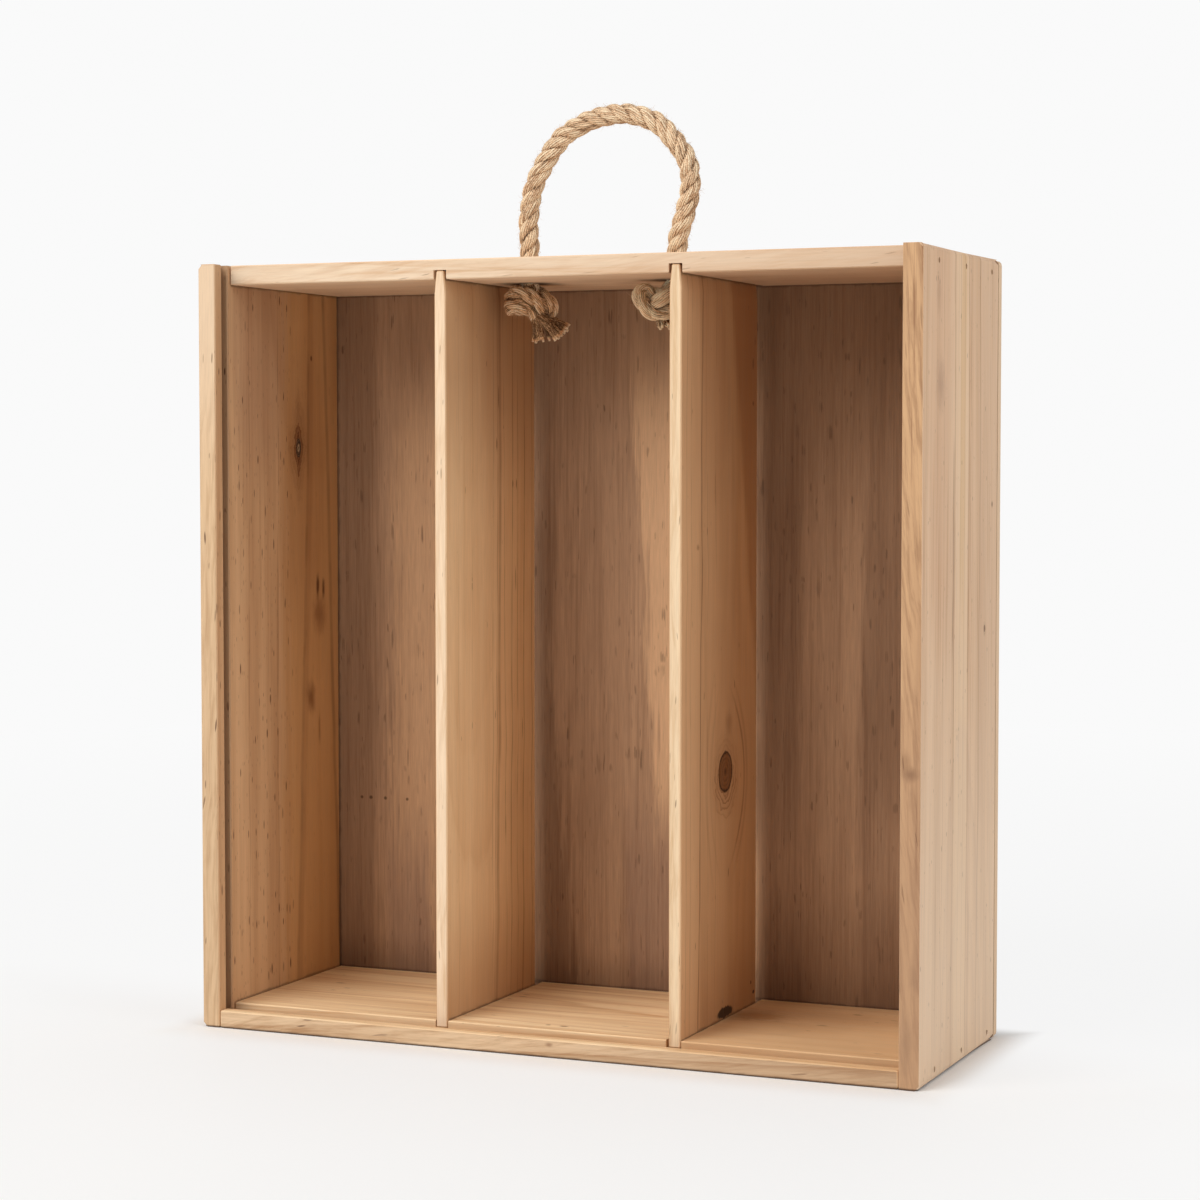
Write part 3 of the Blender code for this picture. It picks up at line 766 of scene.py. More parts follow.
@dataclass
class Knot:
    """A knot in a face: centre, half sizes and darkness.

    flame is how far along the grain round it is drawn out, and diamond the half sizes of a dark one.
    """

    across: float
    along: float
    half_across: float
    half_along: float
    dark: float
    face: float
    flame: float = 1.7
    diamond: tuple = None

    def push(self, board):
        """How far the grain is pushed aside here."""
        side = board.u - self.across
        rise = (board.w - self.along) * (1 / (self.half_along * self.flame))
        wide = side * (1 / (self.half_across * 1.7))
        pull = board.g.math("EXPONENT", (wide * wide + rise * rise) * -0.5)
        return side * pull * 0.85

    def halo(self, board, uneven):
        """Rings of darker grain round an oval knot, stronger below it."""
        g, half = board.g, self.half_along
        wide = board.oval(self.across, self.along - half * 0.12, self.half_across * 1.22, half * 1.42)
        wide = wide + uneven * 0.60
        fading = g.span(wide, 0.9, 1.75, 1.0, 0.0)
        rings = g.span(g.math("FRACT", wide * 4.2), 0.45, 0.95)
        below = g.span(board.w, self.along - half, self.along + half, 0.55, 0.15)
        return fading * (0.16 + rings * below) * self.dark

    def veined(self, board, uneven, fine):
        """A dark veined diamond round the knot."""
        g = board.g
        side = abs((board.u - self.across) * (1 / self.diamond[0]))
        rise = abs((board.w - self.along) * (1 / self.diamond[1]))
        reach = side + rise + uneven * 0.9 + fine * 0.35
        shade = g.span(reach, 0.45, 1.0, 0.66, 0.0) + g.span(reach, 0.9, 2.0, 0.36, 0.0)
        return shade * g.span(g.math("FRACT", reach * 2.6), 0.25, 0.8, 0.60, 1.0)

    def paint(self, board, colour, height):
        g = board.g
        uneven = g.noise((board.u, board.w, board.seed), 170.0) - 0.5
        fine = g.noise((board.u, board.w, board.seed), 900.0) - 0.5
        out = board.oval(self.across, self.along, self.half_across, self.half_along)
        out = out + uneven * 0.22 + fine * 0.08
        inside = g.span(out, 0.93, 1.02, 1.0, 0.0)
        if self.diamond:
            heart, rim_from = KNOT_PALE_RIM, 0.35
            colour = g.mix(board.on(self.face, self.veined(board, uneven, fine)), colour, KNOT_FLAME)
        else:
            heart, rim_from = KNOT_HEART, 0.80
            colour = g.mix(board.on(self.face, self.halo(board, uneven)), colour, KNOT_HALO)
        turns = g.math("FRACT", out * 4.4)
        rim = g.span(out, rim_from, rim_from + 0.13) * g.span(out, 0.97, 1.12, 1.0, 0.0)
        core = g.span(out, 0.06, 0.20, 1.0, 0.0)
        dark = g.span(turns, 0.3, 0.95) * 0.32 + rim * 0.80 + core * 0.8 + fine * 0.9
        heart = g.mix(g.math("MINIMUM", g.math("MAXIMUM", dark, 0.0), 1.0), heart, KNOT_DARK)
        shown = board.on(self.face, inside * self.dark)
        return g.mix(shown, colour, heart), height + board.on(self.face, rim) * -0.6


# Finishes of the boards


def dashes(g, across, along, width, length, filled, seed):
    """Short dark dashes along the grain, about this wide and long, in this share of their places."""
    reach = 0.2
    cells = g.node("ShaderNodeTexVoronoi", feature="F1", voronoi_dimensions="2D")
    place = (across * (2 * reach / width) + seed, along * (2 * reach / length), 0.0)
    away = g.fill(cells, {"Vector": place, "Scale": 1.0}, "Distance")
    chosen, sized, deep = g.parts(Value(g, cells.outputs["Color"]))
    near = away / g.ramp(sized, 0.0, 1.0, reach * 0.45, reach * 1.15)
    depth = g.ramp(deep, 0.0, 1.0, 0.45, 1.0)
    return g.span(near, 0.45, 1.0, 1.0, 0.0) * (chosen < filled) * depth


def dress(node, material):
    """Gives a CAD node its finish."""
    mesh = NODES[node].data
    mesh.materials.clear()
    mesh.materials.append(material)
    for slot in NODES[node].material_slots:
        slot.material = material


WOOD_RELIEF = 0.00020
VENEER_RELIEF = 0.00022
RUST_RELIEF = 0.00005
RING_STOPS = [(0.0, 0.0), (0.35, 0.10), (0.70, 0.50), (0.88, 1.0), (0.97, 0.0)]
DASHES = (0.0009, 0.0048)
FRONT_DASHES = (0.0006, 0.0060, 0.10, 0.04)


def wood(
    name, node, along, across, pale, late, front, seed, marks,
    ring=0.0045, pith=(0.012, 0.075), tilt=(0.01, 0.05), sway=0.0035,
    contrast=0.45, streaks=0.35, lines=0.25, fibres=0.07, cloud=0.05,
    flecks=0.05, fleck_size=DASHES, fleck_strength=0.65, fleck_edge=None,
    front_flecks=FRONT_DASHES, front_grain=0.35,
):
    """Dresses a node in planed wood cut from a tree: growth rings about a leaning pith, streaks, fibres,
    flecks and the board's own marks.

    front is the pale and the late colour of the faces that look to the front, where front_flecks are
    the dashes' width, length, filled share and lean. fleck_edge is how far across the other faces
    most flecks reach.
    """
    g = Graph(name)
    board = Board(g, along, across, seed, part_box(node)[0][Y])
    u, v, w = board.u, board.v, board.w
    grain_u, grain_w = u, w + seed
    for mark in marks:
        if isinstance(mark, Knot):
            grain_u = grain_u - mark.push(board)

    def grain(squeeze, scale, detail=2.0, roughness=0.5):
        """Noise drawn out along the grain."""
        return g.noise((grain_u, v, grain_w * squeeze), scale, detail, roughness)

    drift = g.noises((grain_u, v, grain_w * 0.12), 16.0, 2.0)
    ripple = g.noises((grain_u, v, grain_w * 0.16), 90.0, 3.0)
    offsets = []
    for number, base in enumerate((grain_u, v)):
        lean = base + w * tilt[number] + -pith[number] + (drift[number] - 0.5) * (sway * 3)
        offsets.append(lean + (ripple[number] - 0.5) * (sway * 0.4))
    side, rise = offsets
    from_pith = g.math("SQRT", side * side + rise * rise)
    phase = from_pith * (1 / ring) + g.noise((from_pith, seed, 0.0), 55.0, 1.0) * 2.0
    latewood = g.curve(g.math("FRACT", phase), RING_STOPS)
    year = g.noise((g.math("FLOOR", phase) * 3.1, seed, 0.0), 1.0, 0.0)
    latewood = latewood * g.span(year, 0.35, 0.65, 0.15, 1.0)

    streak = grain(0.035, 120.0, 4.0, 0.60)
    broad = grain(0.12, 22.0)
    thin = grain(0.012, 620.0, 1.0)
    patch = grain(0.15, 60.0, 1.0)
    fibre = grain(0.045, 1500.0, 2.0, 0.6)
    thin_line = g.span(thin, 0.56, 0.70) * g.span(patch, 0.40, 0.62, 0.15, 1.0)
    share = latewood * contrast + g.span(streak, 0.36, 0.68) * streaks + thin_line * lines
    wide_front, long_front, filled_front, lean = front_flecks
    leaning = v + w * -lean + board.ragged * 0.0016 + board.sway * 0.014
    front_line = g.noise((leaning, seed, w * 0.07), 430.0, 4.0, 0.65)
    share = share + g.span(front_line, 0.42, 0.66) * front_grain * board.front
    late = g.mix(board.front, late, front[1])
    colour = g.mix(g.lesser(share, 1.0), g.mix(board.front, pale, front[0]), late)
    height = latewood * 0.35 + fibre * 0.45 + thin_line * -0.3
    for mark in marks:
        colour, height = mark.paint(board, colour, height)

    tone = g.ramp(fibre, 0.25, 0.75, 1 - fibres, 1 + fibres * 0.8)
    colour = g.toned(colour, tone * g.ramp(broad, 0.30, 0.70, 1 - cloud, 1 + cloud))
    across_fleck = grain_u + v * 0.83 + (ripple[2] - 0.5) * 0.0014
    wide, long = fleck_size
    fleck = dashes(g, across_fleck, grain_w, wide, long, flecks, seed)
    small = dashes(g, across_fleck, grain_w, wide * 0.5, long * 0.55, flecks * 1.2, seed + 4.1)
    fleck = g.greater(fleck, small * 0.55)
    if fleck_edge is not None:
        fleck = fleck * g.span(u, fleck_edge, fleck_edge + 0.008, 1.0, 0.15)
    chip = dashes(g, leaning, w, wide_front, long_front, filled_front, seed + 7.7) * board.front
    fleck = g.greater(fleck * (1.0 - board.front), chip)
    colour = g.mix(fleck * fleck_strength, colour, RESIN)
    looks = {
        "Base Color": g.mix(board.end * 0.35, colour, late),
        "Roughness": g.ramp(fibre, 0.3, 0.7, 0.50, 0.72) + latewood * -0.08,
        "Specular IOR Level": 0.30,
    }
    dress(node, g.finish(looks, height + fleck * -0.9, WOOD_RELIEF, 0.6))


def veneer(name, node, along, across, pale, dark, edge, seed, marks):
    """Dresses a node in rotary-cut veneer: fine dark strokes over cloudy shades, and a paler edge."""
    g = Graph(name)
    board = Board(g, along, across, seed)
    u, v, w = board.u, board.v, board.w + seed
    warp = u + board.ragged * 0.006
    cloud = g.noise((warp, v, w * 0.16), 17.0)
    wisps = g.noise((warp, v, w * 0.10), 120.0, 3.0, 0.6)
    grain = g.noise((u, v, w * 0.022), 640.0, 3.0, 0.6)
    fibre = g.noise((u, v, w * 0.05), 1500.0, 3.0, 0.62)
    shade = g.span(cloud, 0.36, 0.64) * 0.26 + g.span(wisps, 0.34, 0.68) * 0.22
    colour = g.mix(shade + g.span(grain, 0.42, 0.70) * 0.30, pale, dark)
    height = fibre
    for mark in marks:
        colour, height = mark.paint(board, colour, height)
    colour = g.toned(colour, g.ramp(fibre, 0.25, 0.75, 0.86, 1.10))
    strokes = dashes(g, warp, w, 0.0011, 0.0110, 0.24, seed) * g.span(wisps, 0.42, 0.60, 0.25, 1.0)
    small = dashes(g, warp, w, 0.0008, 0.0065, 0.34, seed + 2.7)
    stroke = g.greater(strokes, small * 0.75)
    colour = g.mix(stroke * 0.52, colour, (64, 44, 30))
    flat = g.span(abs(g.texture_places("Normal")[Y]), 0.3, 0.7)
    looks = {
        "Base Color": g.mix(flat, g.mix(grain * 0.25, edge, dark), colour),
        "Roughness": g.ramp(fibre, 0.3, 0.7, 0.60, 0.80),
        "Specular IOR Level": 0.25,
    }
    dress(node, g.finish(looks, height + stroke * -0.8, VENEER_RELIEF, 0.7))


def steel(name):
    """Dull dark steel of a brad's head."""
    g = Graph(name)
    rust = g.noise(Value(g, g.node("ShaderNodeTexCoord").outputs["Object"]), 900.0, 3.0)
    looks = {
        "Base Color": g.mix(rust, (70, 56, 46), (120, 104, 92)),
        "Roughness": g.span(rust, 0.3, 0.7, 0.42, 0.65),
        "Metallic": 0.85,
    }
    return g.finish(looks, rust, RUST_RELIEF, 0.6)


# Each board's marks. Places are across and along its grain, sizes are half widths, then strength

BROWN = (112, 64, 30)
DEEP_BROWN = (84, 46, 20)
HOLE_DARK = (34, 20, 12)
SIDE_TAN = (164, 114, 76)
RIGHT_EDGE = (RIGHT_INNER_FACE + RIGHT_OUTER_FACE) / 2


def lines(colour, face, *rows):
    """Lines of one colour: bottom, top, width, strength, and where given broken, bow, low and high."""
    return [Line(*row[:4], colour, face, *row[4:]) for row in rows]


def stains(colour, face, *rows, front=False):
    """Stains of one colour: across, along, half across, half along, strength, and where given soft."""
    return [Stain(*row[:4], colour, row[4], face, *row[5:], front=front) for row in rows]


def seams(axis, places, face=None, **settings):
    return [Seam(axis, place, face, **settings) for place in places]


def foot():
    """Painted contact shadow: a thin dark line along the foot of a board that stands on the floor."""
    return seams(Z, (0.0,), width=0.0014, strength=0.95, front=-1.0, waver=(0.92, 1.08))


def wall_seams(face):
    """Where the sides and the dividers meet the floor or the ceiling."""
    walls = (LEFT_INNER_FACE, DIVIDER_LEFT_FACE, DIVIDER_RIGHT_FACE, RIGHT_INNER_FACE)
    return seams(Y, (BACK_FACE,), face) + seams(X, walls, face)


def dress_left_side():
    face = LEFT_INNER_FACE
    marks = [
        Band(0.002, 0.09, (207, 159, 104), 0.60, face, soft=0.010),
        Band(-0.044, 0.002, (156, 116, 94), 0.28, face, soft=0.008, foot=0.262),
        Band(0.000, 0.040, (140, 88, 48), 0.26, face, soft=0.008, foot=0.19, head=0.30),
        *lines(DEEP_BROWN, face, (0.0115, 0.0265, 0.0020, 0.34, 0.6, 0.002)),
        *lines(BROWN, face, (0.0135, 0.0290, 0.0040, 0.22, 0.3, 0.002)),
        *lines(DEEP_BROWN, face, (0.0560, 0.0400, 0.0024, 0.36)),
        *lines(BROWN, face, (-0.0060, -0.0040, 0.0007, 0.35, 0.7), (-0.0330, -0.0310, 0.0008, 0.30, 0.7)),
        *stains(
            DEEP_BROWN, face,
            (0.0340, 0.1995, 0.0017, 0.0062, 0.90, 0.8),
            (0.0395, 0.1980, 0.0016, 0.0058, 0.85, 0.8),
        ),
        *stains(
            BROWN, face,
            (0.0355, 0.1860, 0.0075, 0.0100, 0.55, 0.95),
            (0.0350, 0.1300, 0.0013, 0.0085, 0.50, 0.9),
            (0.0270, 0.1460, 0.0050, 0.0085, 0.72, 0.95),
        ),
        *stains(DEEP_BROWN, face, (0.0285, 0.3100, 0.0010, 0.0016, 0.85)),
        Knot(0.0156, 0.2668, 0.0025, 0.0046, 1.0, face, flame=3.4, diamond=(0.0066, 0.0185)),
        # Painted light and shade: the front edge lighter towards the top, shade in the lid groove, and a
        # contact shadow along the foot
        LightFade(Z, 0.24, 0.335, (222, 195, 165), 0.80, front=True),
        GrooveShade(-0.0556, -0.0494, X, face, (86, 52, 28), 0.62),
        *foot(),
        *seams(Y, (BACK_FACE,), face),
        *seams(Z, (FLOOR, CEILING), face),
    ]
    wood(
        "pine_left_side", "left_side", Z, Y, (209, 170, 130), (166, 119, 80),
        ((212, 180, 143), (168, 128, 90)), 2.3, marks,
        pith=(0.03, 0.10), contrast=0.25, streaks=0.40, lines=0.20, flecks=0.26,
        fleck_size=(0.0014, 0.0058), fleck_strength=0.85, fleck_edge=0.004,
        front_flecks=(0.0009, 0.0070, 0.10, 0.06), front_grain=0.40,
    )


def dress_right_side():
    face = RIGHT_OUTER_FACE
    marks = [
        Band(-0.0125, 0.0085, (236, 204, 168), 0.50, face, soft=0.0008),
        Band(-0.0040, 0.0035, (212, 170, 118), 0.45, face, soft=0.0012, foot=0.20),
        Band(-0.0500, -0.0200, (206, 160, 124), 0.35, face, soft=0.006, foot=0.19),
        Band(0.0095, 0.0255, (212, 172, 134), 0.26, face, soft=0.0010, foot=0.13),
        Band(0.0275, 0.0600, (216, 180, 148), 0.30, face, soft=0.0010, foot=0.10),
        *lines(
            SIDE_TAN, face,
            (0.0090, 0.0088, 0.0015, 0.55, 0.25),
            (0.0264, 0.0264, 0.0013, 0.50, 0.25),
            (0.0115, 0.0112, 0.0012, 0.35, 0.5),
            (0.0140, 0.0135, 0.0008, 0.30, 0.6),
            (-0.0135, -0.0128, 0.0011, 0.55),
        ),
        *lines(
            (140, 96, 66), face,
            (-0.0150, -0.0150, 0.0016, 0.60, 0.3, 0.0, 0.165, 0.275),
            (-0.0150, -0.0145, 0.0010, 0.55, 0.3, 0.0, 0.320, 0.348),
        ),
        *lines(
            SIDE_TAN, face,
            (-0.0045, -0.0042, 0.0006, 0.30),
            (0.0022, 0.0018, 0.0006, 0.35),
            (-0.0290, -0.0300, 0.0008, 0.35, 0.6),
            (-0.0420, -0.0400, 0.0006, 0.25, 0.6),
            (0.0432, 0.0430, 0.0006, 0.25, 0.6),
        ),
        *stains((150, 114, 92), face, (-0.0350, 0.2930, 0.0075, 0.0130, 0.42, 0.95)),
        *stains((160, 120, 94), face, (-0.0385, 0.3300, 0.0040, 0.0100, 0.35, 0.95)),
        *stains((130, 88, 60), face, (0.0470, 0.2415, 0.0016, 0.0015, 0.80, 0.9)),
        # Painted light: the outer face lighter towards the foot
        LightFade(Z, 0.20, 0.02, (242, 218, 190), 0.40),
        Knot(0.0358, 0.1868, 0.0012, 0.0016, 0.85, face),
        *stains((104, 66, 38), None, (RIGHT_EDGE, 0.1315, 0.0042, 0.0034, 0.85, 0.95), front=True),
        *stains((120, 80, 48), None, (RIGHT_EDGE - 0.002, 0.1370, 0.0024, 0.0050, 0.5, 0.95), front=True),
        *stains(
            (116, 84, 60), None,
            (RIGHT_EDGE + 0.002, 0.0475, 0.0026, 0.0110, 0.55, 0.95),
            (RIGHT_EDGE - 0.001, 0.0190, 0.0030, 0.0140, 0.60, 0.95),
            front=True,
        ),
        # Painted shade: the front edge darker towards the foot, and a contact shadow along the foot
        LightFade(Z, 0.26, 0.06, (172, 134, 104), 0.60, front=True),
        *foot(),
        *seams(Y, (BACK_FACE,), RIGHT_INNER_FACE),
    ]
    wood(
        "pine_right_side", "right_side", Z, Y, (229, 194, 160), (188, 144, 106),
        ((203, 162, 121), (134, 94, 64)), 5.1, marks,
        pith=(0.0, 0.11), contrast=0.24, streaks=0.32, lines=0.50, fibres=0.05, cloud=0.035,
        flecks=0.060, fleck_size=(0.0010, 0.0030), fleck_strength=0.50,
        front_flecks=(0.0010, 0.0130, 0.24, -0.12), front_grain=0.50,
    )


def dress_top_board():
    face = CEILING
    marks = [
        # Painted light falling off towards the right, on the front edge and on the other faces
        LightFade(X, -0.10, 0.17, (202, 169, 140), 0.60, front=True),
        LightFade(X, -0.06, 0.13, (186, 138, 98), 0.55),
        *wall_seams(face),
        # Painted contact shadow on the underside round each rope hole, where the knot meets the board
        *stains((44, 26, 14), face, *[(ROPE_Y, x, 0.0140, 0.0165, 0.92, 0.75) for x in HOLES]),
    ]
    wood(
        "pine_top", "top_board", X, Y, (246, 216, 182), (206, 164, 124),
        ((224, 201, 174), (198, 158, 120)), 7.7, marks,
        ring=0.0030, pith=(0.01, 0.40), tilt=(0.02, 0.035), contrast=0.35, fibres=0.05, flecks=0.03,
        fleck_strength=0.40, front_flecks=(0.0006, 0.0070, 0.16, 0.10), front_grain=0.40,
    )


def dress_bottom_board():
    face = FLOOR
    marks = [
        # Painted shade over the right cell's floor
        LightFade(X, 0.055, 0.065, (220, 178, 132), 0.75),
        *stains((138, 90, 52), face, (0.0170, 0.0690, 0.0150, 0.0190, 0.62, 0.95)),
        *stains((196, 146, 98), face, (0.0170, 0.0750, 0.0060, 0.0090, 0.45, 0.5)),
        *stains((196, 148, 104), face, (0.0230, 0.1080, 0.0200, 0.0500, 0.40, 1.0)),
        *stains(
            BROWN, face,
            (0.0370, 0.1130, 0.0016, 0.0028, 0.50, 0.9),
            (0.0080, 0.1060, 0.0016, 0.0030, 0.45, 0.9),
            (-0.0385, -0.0070, 0.0012, 0.0013, 0.60),
            (-0.0385, 0.0008, 0.0014, 0.0024, 0.75),
            (0.0140, -0.1400, 0.0014, 0.0030, 0.45, 0.9),
        ),
        *stains(BROWN, None, (0.0058, 0.0035, 0.0011, 0.0022, 0.60, 0.9), front=True),
        # Painted light and shade: the lip's front darker towards the right, shade in the lid groove, and a
        # contact shadow along the foot
        LightFade(X, -0.08, 0.15, (169, 136, 106), 0.56, front=True),
        GrooveShade(-0.0549, -0.0478, Z, face, (140, 92, 56), 0.54),
        *foot(),
        *wall_seams(face),
    ]
    wood(
        "pine_bottom", "bottom_board", X, Y, (252, 224, 182), (206, 154, 102),
        ((222, 192, 157), (162, 121, 82)), 11.9, marks,
        pith=(0.0, -0.035), tilt=(0.05, 0.02), sway=0.006, contrast=0.60, flecks=0.02,
        fleck_strength=0.80, front_flecks=(0.0013, 0.0100, 0.22, 0.14), front_grain=0.40,
    )


def dress_divider_left():
    face = DIVIDER_LEFT_FACE
    marks = [
        Band(0.005, 0.09, (230, 184, 134), 0.25, face, soft=0.003),
        # Painted shade at the top, under the top board and the left knot, and towards the ceiling and the
        # floor
        Band(-0.012, 0.090, (182, 126, 80), 0.20, face, soft=0.006, foot=0.24, fade=0.05),
        LightFade(Z, 0.23, 0.31, (150, 98, 60), 0.42),
        LightFade(Z, 0.07, 0.01, (150, 98, 60), 0.45),
        *lines(
            BROWN, face,
            (0.0035, 0.0085, 0.0022, 0.42, 0.3, 0.0015),
            (0.0010, 0.0060, 0.0009, 0.35, 0.5, 0.0015),
            (-0.0010, 0.0020, 0.0006, 0.30, 0.7),
            (0.0150, 0.0120, 0.0006, 0.35, 0.8),
            (0.0195, 0.0230, 0.0008, 0.45, 0.5),
            (0.0270, 0.0280, 0.0006, 0.40, 0.7),
            (0.0330, 0.0360, 0.0009, 0.45, 0.4),
            (0.0430, 0.0440, 0.0007, 0.40, 0.5),
            (-0.0230, -0.0200, 0.0005, 0.22, 0.8),
            (-0.0360, -0.0350, 0.0005, 0.20, 0.5),
        ),
        *stains(
            DEEP_BROWN, face,
            (0.0070, 0.2900, 0.0006, 0.0060, 0.60),
            (0.0050, 0.2680, 0.0007, 0.0035, 0.60),
            (0.0265, 0.2500, 0.0007, 0.0028, 0.60),
            (0.0225, 0.2500, 0.0007, 0.0020, 0.50),
            (0.0255, 0.2060, 0.0006, 0.0065, 0.50),
            (0.0330, 0.1350, 0.0005, 0.0060, 0.45),
        ),
        *stains(BROWN, face, (0.0140, 0.0900, 0.0006, 0.0080, 0.45)),
        *seams(Z, (FLOOR, CEILING)),
    ]
    wood(
        "pine_divider_left", "divider_left", Z, Y, (232, 196, 152), (206, 160, 112),
        ((236, 210, 180), (206, 166, 124)), 3.9, marks,
        ring=0.0034, pith=(-0.02, 0.06), contrast=0.22, streaks=0.25, lines=0.15, flecks=0.012,
    )


def dress_divider_right():
    face = DIVIDER_RIGHT_FACE
    leaning = {"face": face, "lean": -0.177, "fade": 0.05}
    marks = [
        Band(0.0731, 1.0, (170, 114, 66), 0.44, soft=0.004, foot=0.12, **leaning),
        Band(0.0630, 0.0731, (236, 192, 142), 0.30, soft=0.003, foot=0.14, **leaning),
        Band(0.018, 0.090, (184, 132, 86), 0.24, face, soft=0.006),
        # Painted shade towards the ceiling and the floor
        LightFade(Z, 0.22, 0.31, (146, 90, 48), 0.32),
        LightFade(Z, 0.06, 0.01, (146, 92, 52), 0.30),
        Band(-0.060, -0.0255, (232, 190, 146), 0.35, face, soft=0.0012),
        *lines(
            BROWN, face,
            (-0.0268, -0.0230, 0.0010, 0.60, 0.3, 0.001),
            (-0.0370, -0.0355, 0.0006, 0.30, 0.6),
            (-0.0420, -0.0410, 0.0006, 0.30, 0.5),
            (-0.0150, -0.0170, 0.0005, 0.25, 0.8),
            (-0.0060, -0.0060, 0.0005, 0.22, 0.8),
        ),
        Arc(0.0310, 0.1180, 11.0, 0.045, 0.0016, 0.45, BROWN, face),
        Arc(0.0345, 0.1180, 9.0, 0.050, 0.0022, 0.20, BROWN, face),
        Arc(-0.0120, 0.1180, -6.0, 0.050, 0.0014, 0.12, BROWN, face),
        Arc(-0.0170, 0.1180, -4.0, 0.060, 0.0018, 0.12, BROWN, face),
        *stains(BROWN, face, (0.0110, 0.1430, 0.0050, 0.0060, 0.32, 0.95)),
        *stains(
            DEEP_BROWN, face,
            (0.0415, 0.3050, 0.0010, 0.0030, 0.50),
            (0.0418, 0.2870, 0.0012, 0.0014, 0.60),
        ),
        *stains(
            BROWN, face,
            (-0.0280, 0.2230, 0.0018, 0.0016, 0.45, 0.9),
            (-0.0070, 0.2480, 0.0005, 0.0100, 0.40),
        ),
        *stains(
            HOLE_DARK, face,
            (0.0065, 0.0122, 0.0110, 0.0026, 0.92, 0.25),
            (0.0440, 0.0150, 0.0016, 0.0010, 0.85, 0.4),
            (0.0405, 0.0200, 0.0010, 0.0010, 0.75, 0.4),
        ),
        Knot(0.0066, 0.1211, 0.0091, 0.0096, 1.0, face, flame=2.2),
        *seams(Z, (FLOOR, CEILING)),
    ]
    wood(
        "pine_divider_right", "divider_right", Z, Y, (214, 174, 132), (184, 138, 96),
        ((233, 208, 174), (200, 160, 116)), 8.3, marks,
        ring=0.0036, pith=(0.0, 0.13), contrast=0.22, streaks=0.30, lines=0.20, flecks=0.012,
    )


BACK_DOTS = (-0.150, -0.145, -0.137, -0.125)


def dress_back_panel():
    face = BACK_FACE
    light, lighter = (214, 173, 134), (226, 186, 146)
    dark, purple = (112, 82, 60), (132, 106, 96)
    # shine: the lighter patches on the right of the middle cell, painted light
    shine = {"face": face, "soft": 0.003, "lean": -0.076}
    marks = [
        # Painted shadow of the left side on the left of the left cell
        Band(-0.170, -0.140, dark, 0.40, face, soft=0.006),
        Band(-0.131, -0.104, light, 0.60, face, soft=0.005, foot=0.055, head=0.290, rough=6.0),
        Band(-0.135, -0.112, purple, 0.35, face, soft=0.003, head=0.075),
        # Painted shadow of the left divider, leaning, on the left of the middle cell
        Band(-0.080, -0.0330, dark, 0.48, face, soft=0.003, lean=-0.085, head=0.230, rough=6.0),
        Band(-0.060, -0.045, dark, 0.35, face, foot=0.20),
        Band(-0.030, -0.006, (178, 142, 112), 0.40, face, soft=0.005, foot=0.080, head=0.260),
        Band(0.0168, 0.044, lighter, 0.80, foot=0.085, head=0.305, rough=6.0, **shine),
        Band(-0.008, 0.022, purple, 0.38, face, soft=0.003, head=0.090),
        Band(0.024, 0.064, lighter, 0.45, foot=0.045, head=0.16, **shine),
        # Painted shade along the foot of the back, in the corner with the floor, deeper in the right cell
        Band(-0.180, 0.180, (70, 40, 20), 0.40, face, head=0.020, fade=0.012),
        Band(0.058, 0.170, (78, 46, 24), 0.42, face, head=0.048),
        # Painted shadow of the right divider on the left of the right cell
        Band(0.058, 0.070, dark, 0.30, face, soft=0.003),
        Band(0.052, 0.078, (84, 50, 26), 0.28, face, foot=0.10, head=0.26),
        Band(0.072, 0.080, dark, 0.20, face, soft=0.002, foot=0.05, head=0.28),
        Band(0.080, 0.108, light, 0.14, face),
        Band(0.108, 0.140, dark, 0.42, face, soft=0.002, foot=0.115, head=0.235),
        Band(0.112, 0.140, dark, 0.25, face),
        *stains((48, 30, 18), face, *[(x, 0.0945, 0.0010, 0.0010, 0.7) for x in BACK_DOTS]),
        Band(-0.050, 0.055, (120, 84, 56), 0.16, face, head=0.110, fade=0.04),
        # Painted shade: the right cell darker, and the top darker under the top board, most in the right
        # cell
        LightFade(X, 0.055, 0.065, (128, 90, 60), 0.14, front=True),
        LightFade(Z, 0.25, 0.34, (116, 80, 50), 0.34, front=True),
        Band(0.058, 0.170, (112, 78, 50), 0.40, face, foot=0.235, fade=0.06),
        *seams(X, (LEFT_INNER_FACE, RIGHT_INNER_FACE), face),
        *seams(Z, (FLOOR, CEILING), face),
    ]
    veneer(
        "back_veneer", "back_panel", Z, X, (200, 163, 130), (138, 104, 79), (238, 206, 172), 13.3, marks,
    )


# Rope's finish

# Painted highlight colour for the yarns' crests; then the cut tips' colour and the fibres' bump depth
CREST_HIGHLIGHT = (255, 240, 208)
CUT_FIBRE = (204, 158, 108)
FIBRE_RELIEF = 0.00034


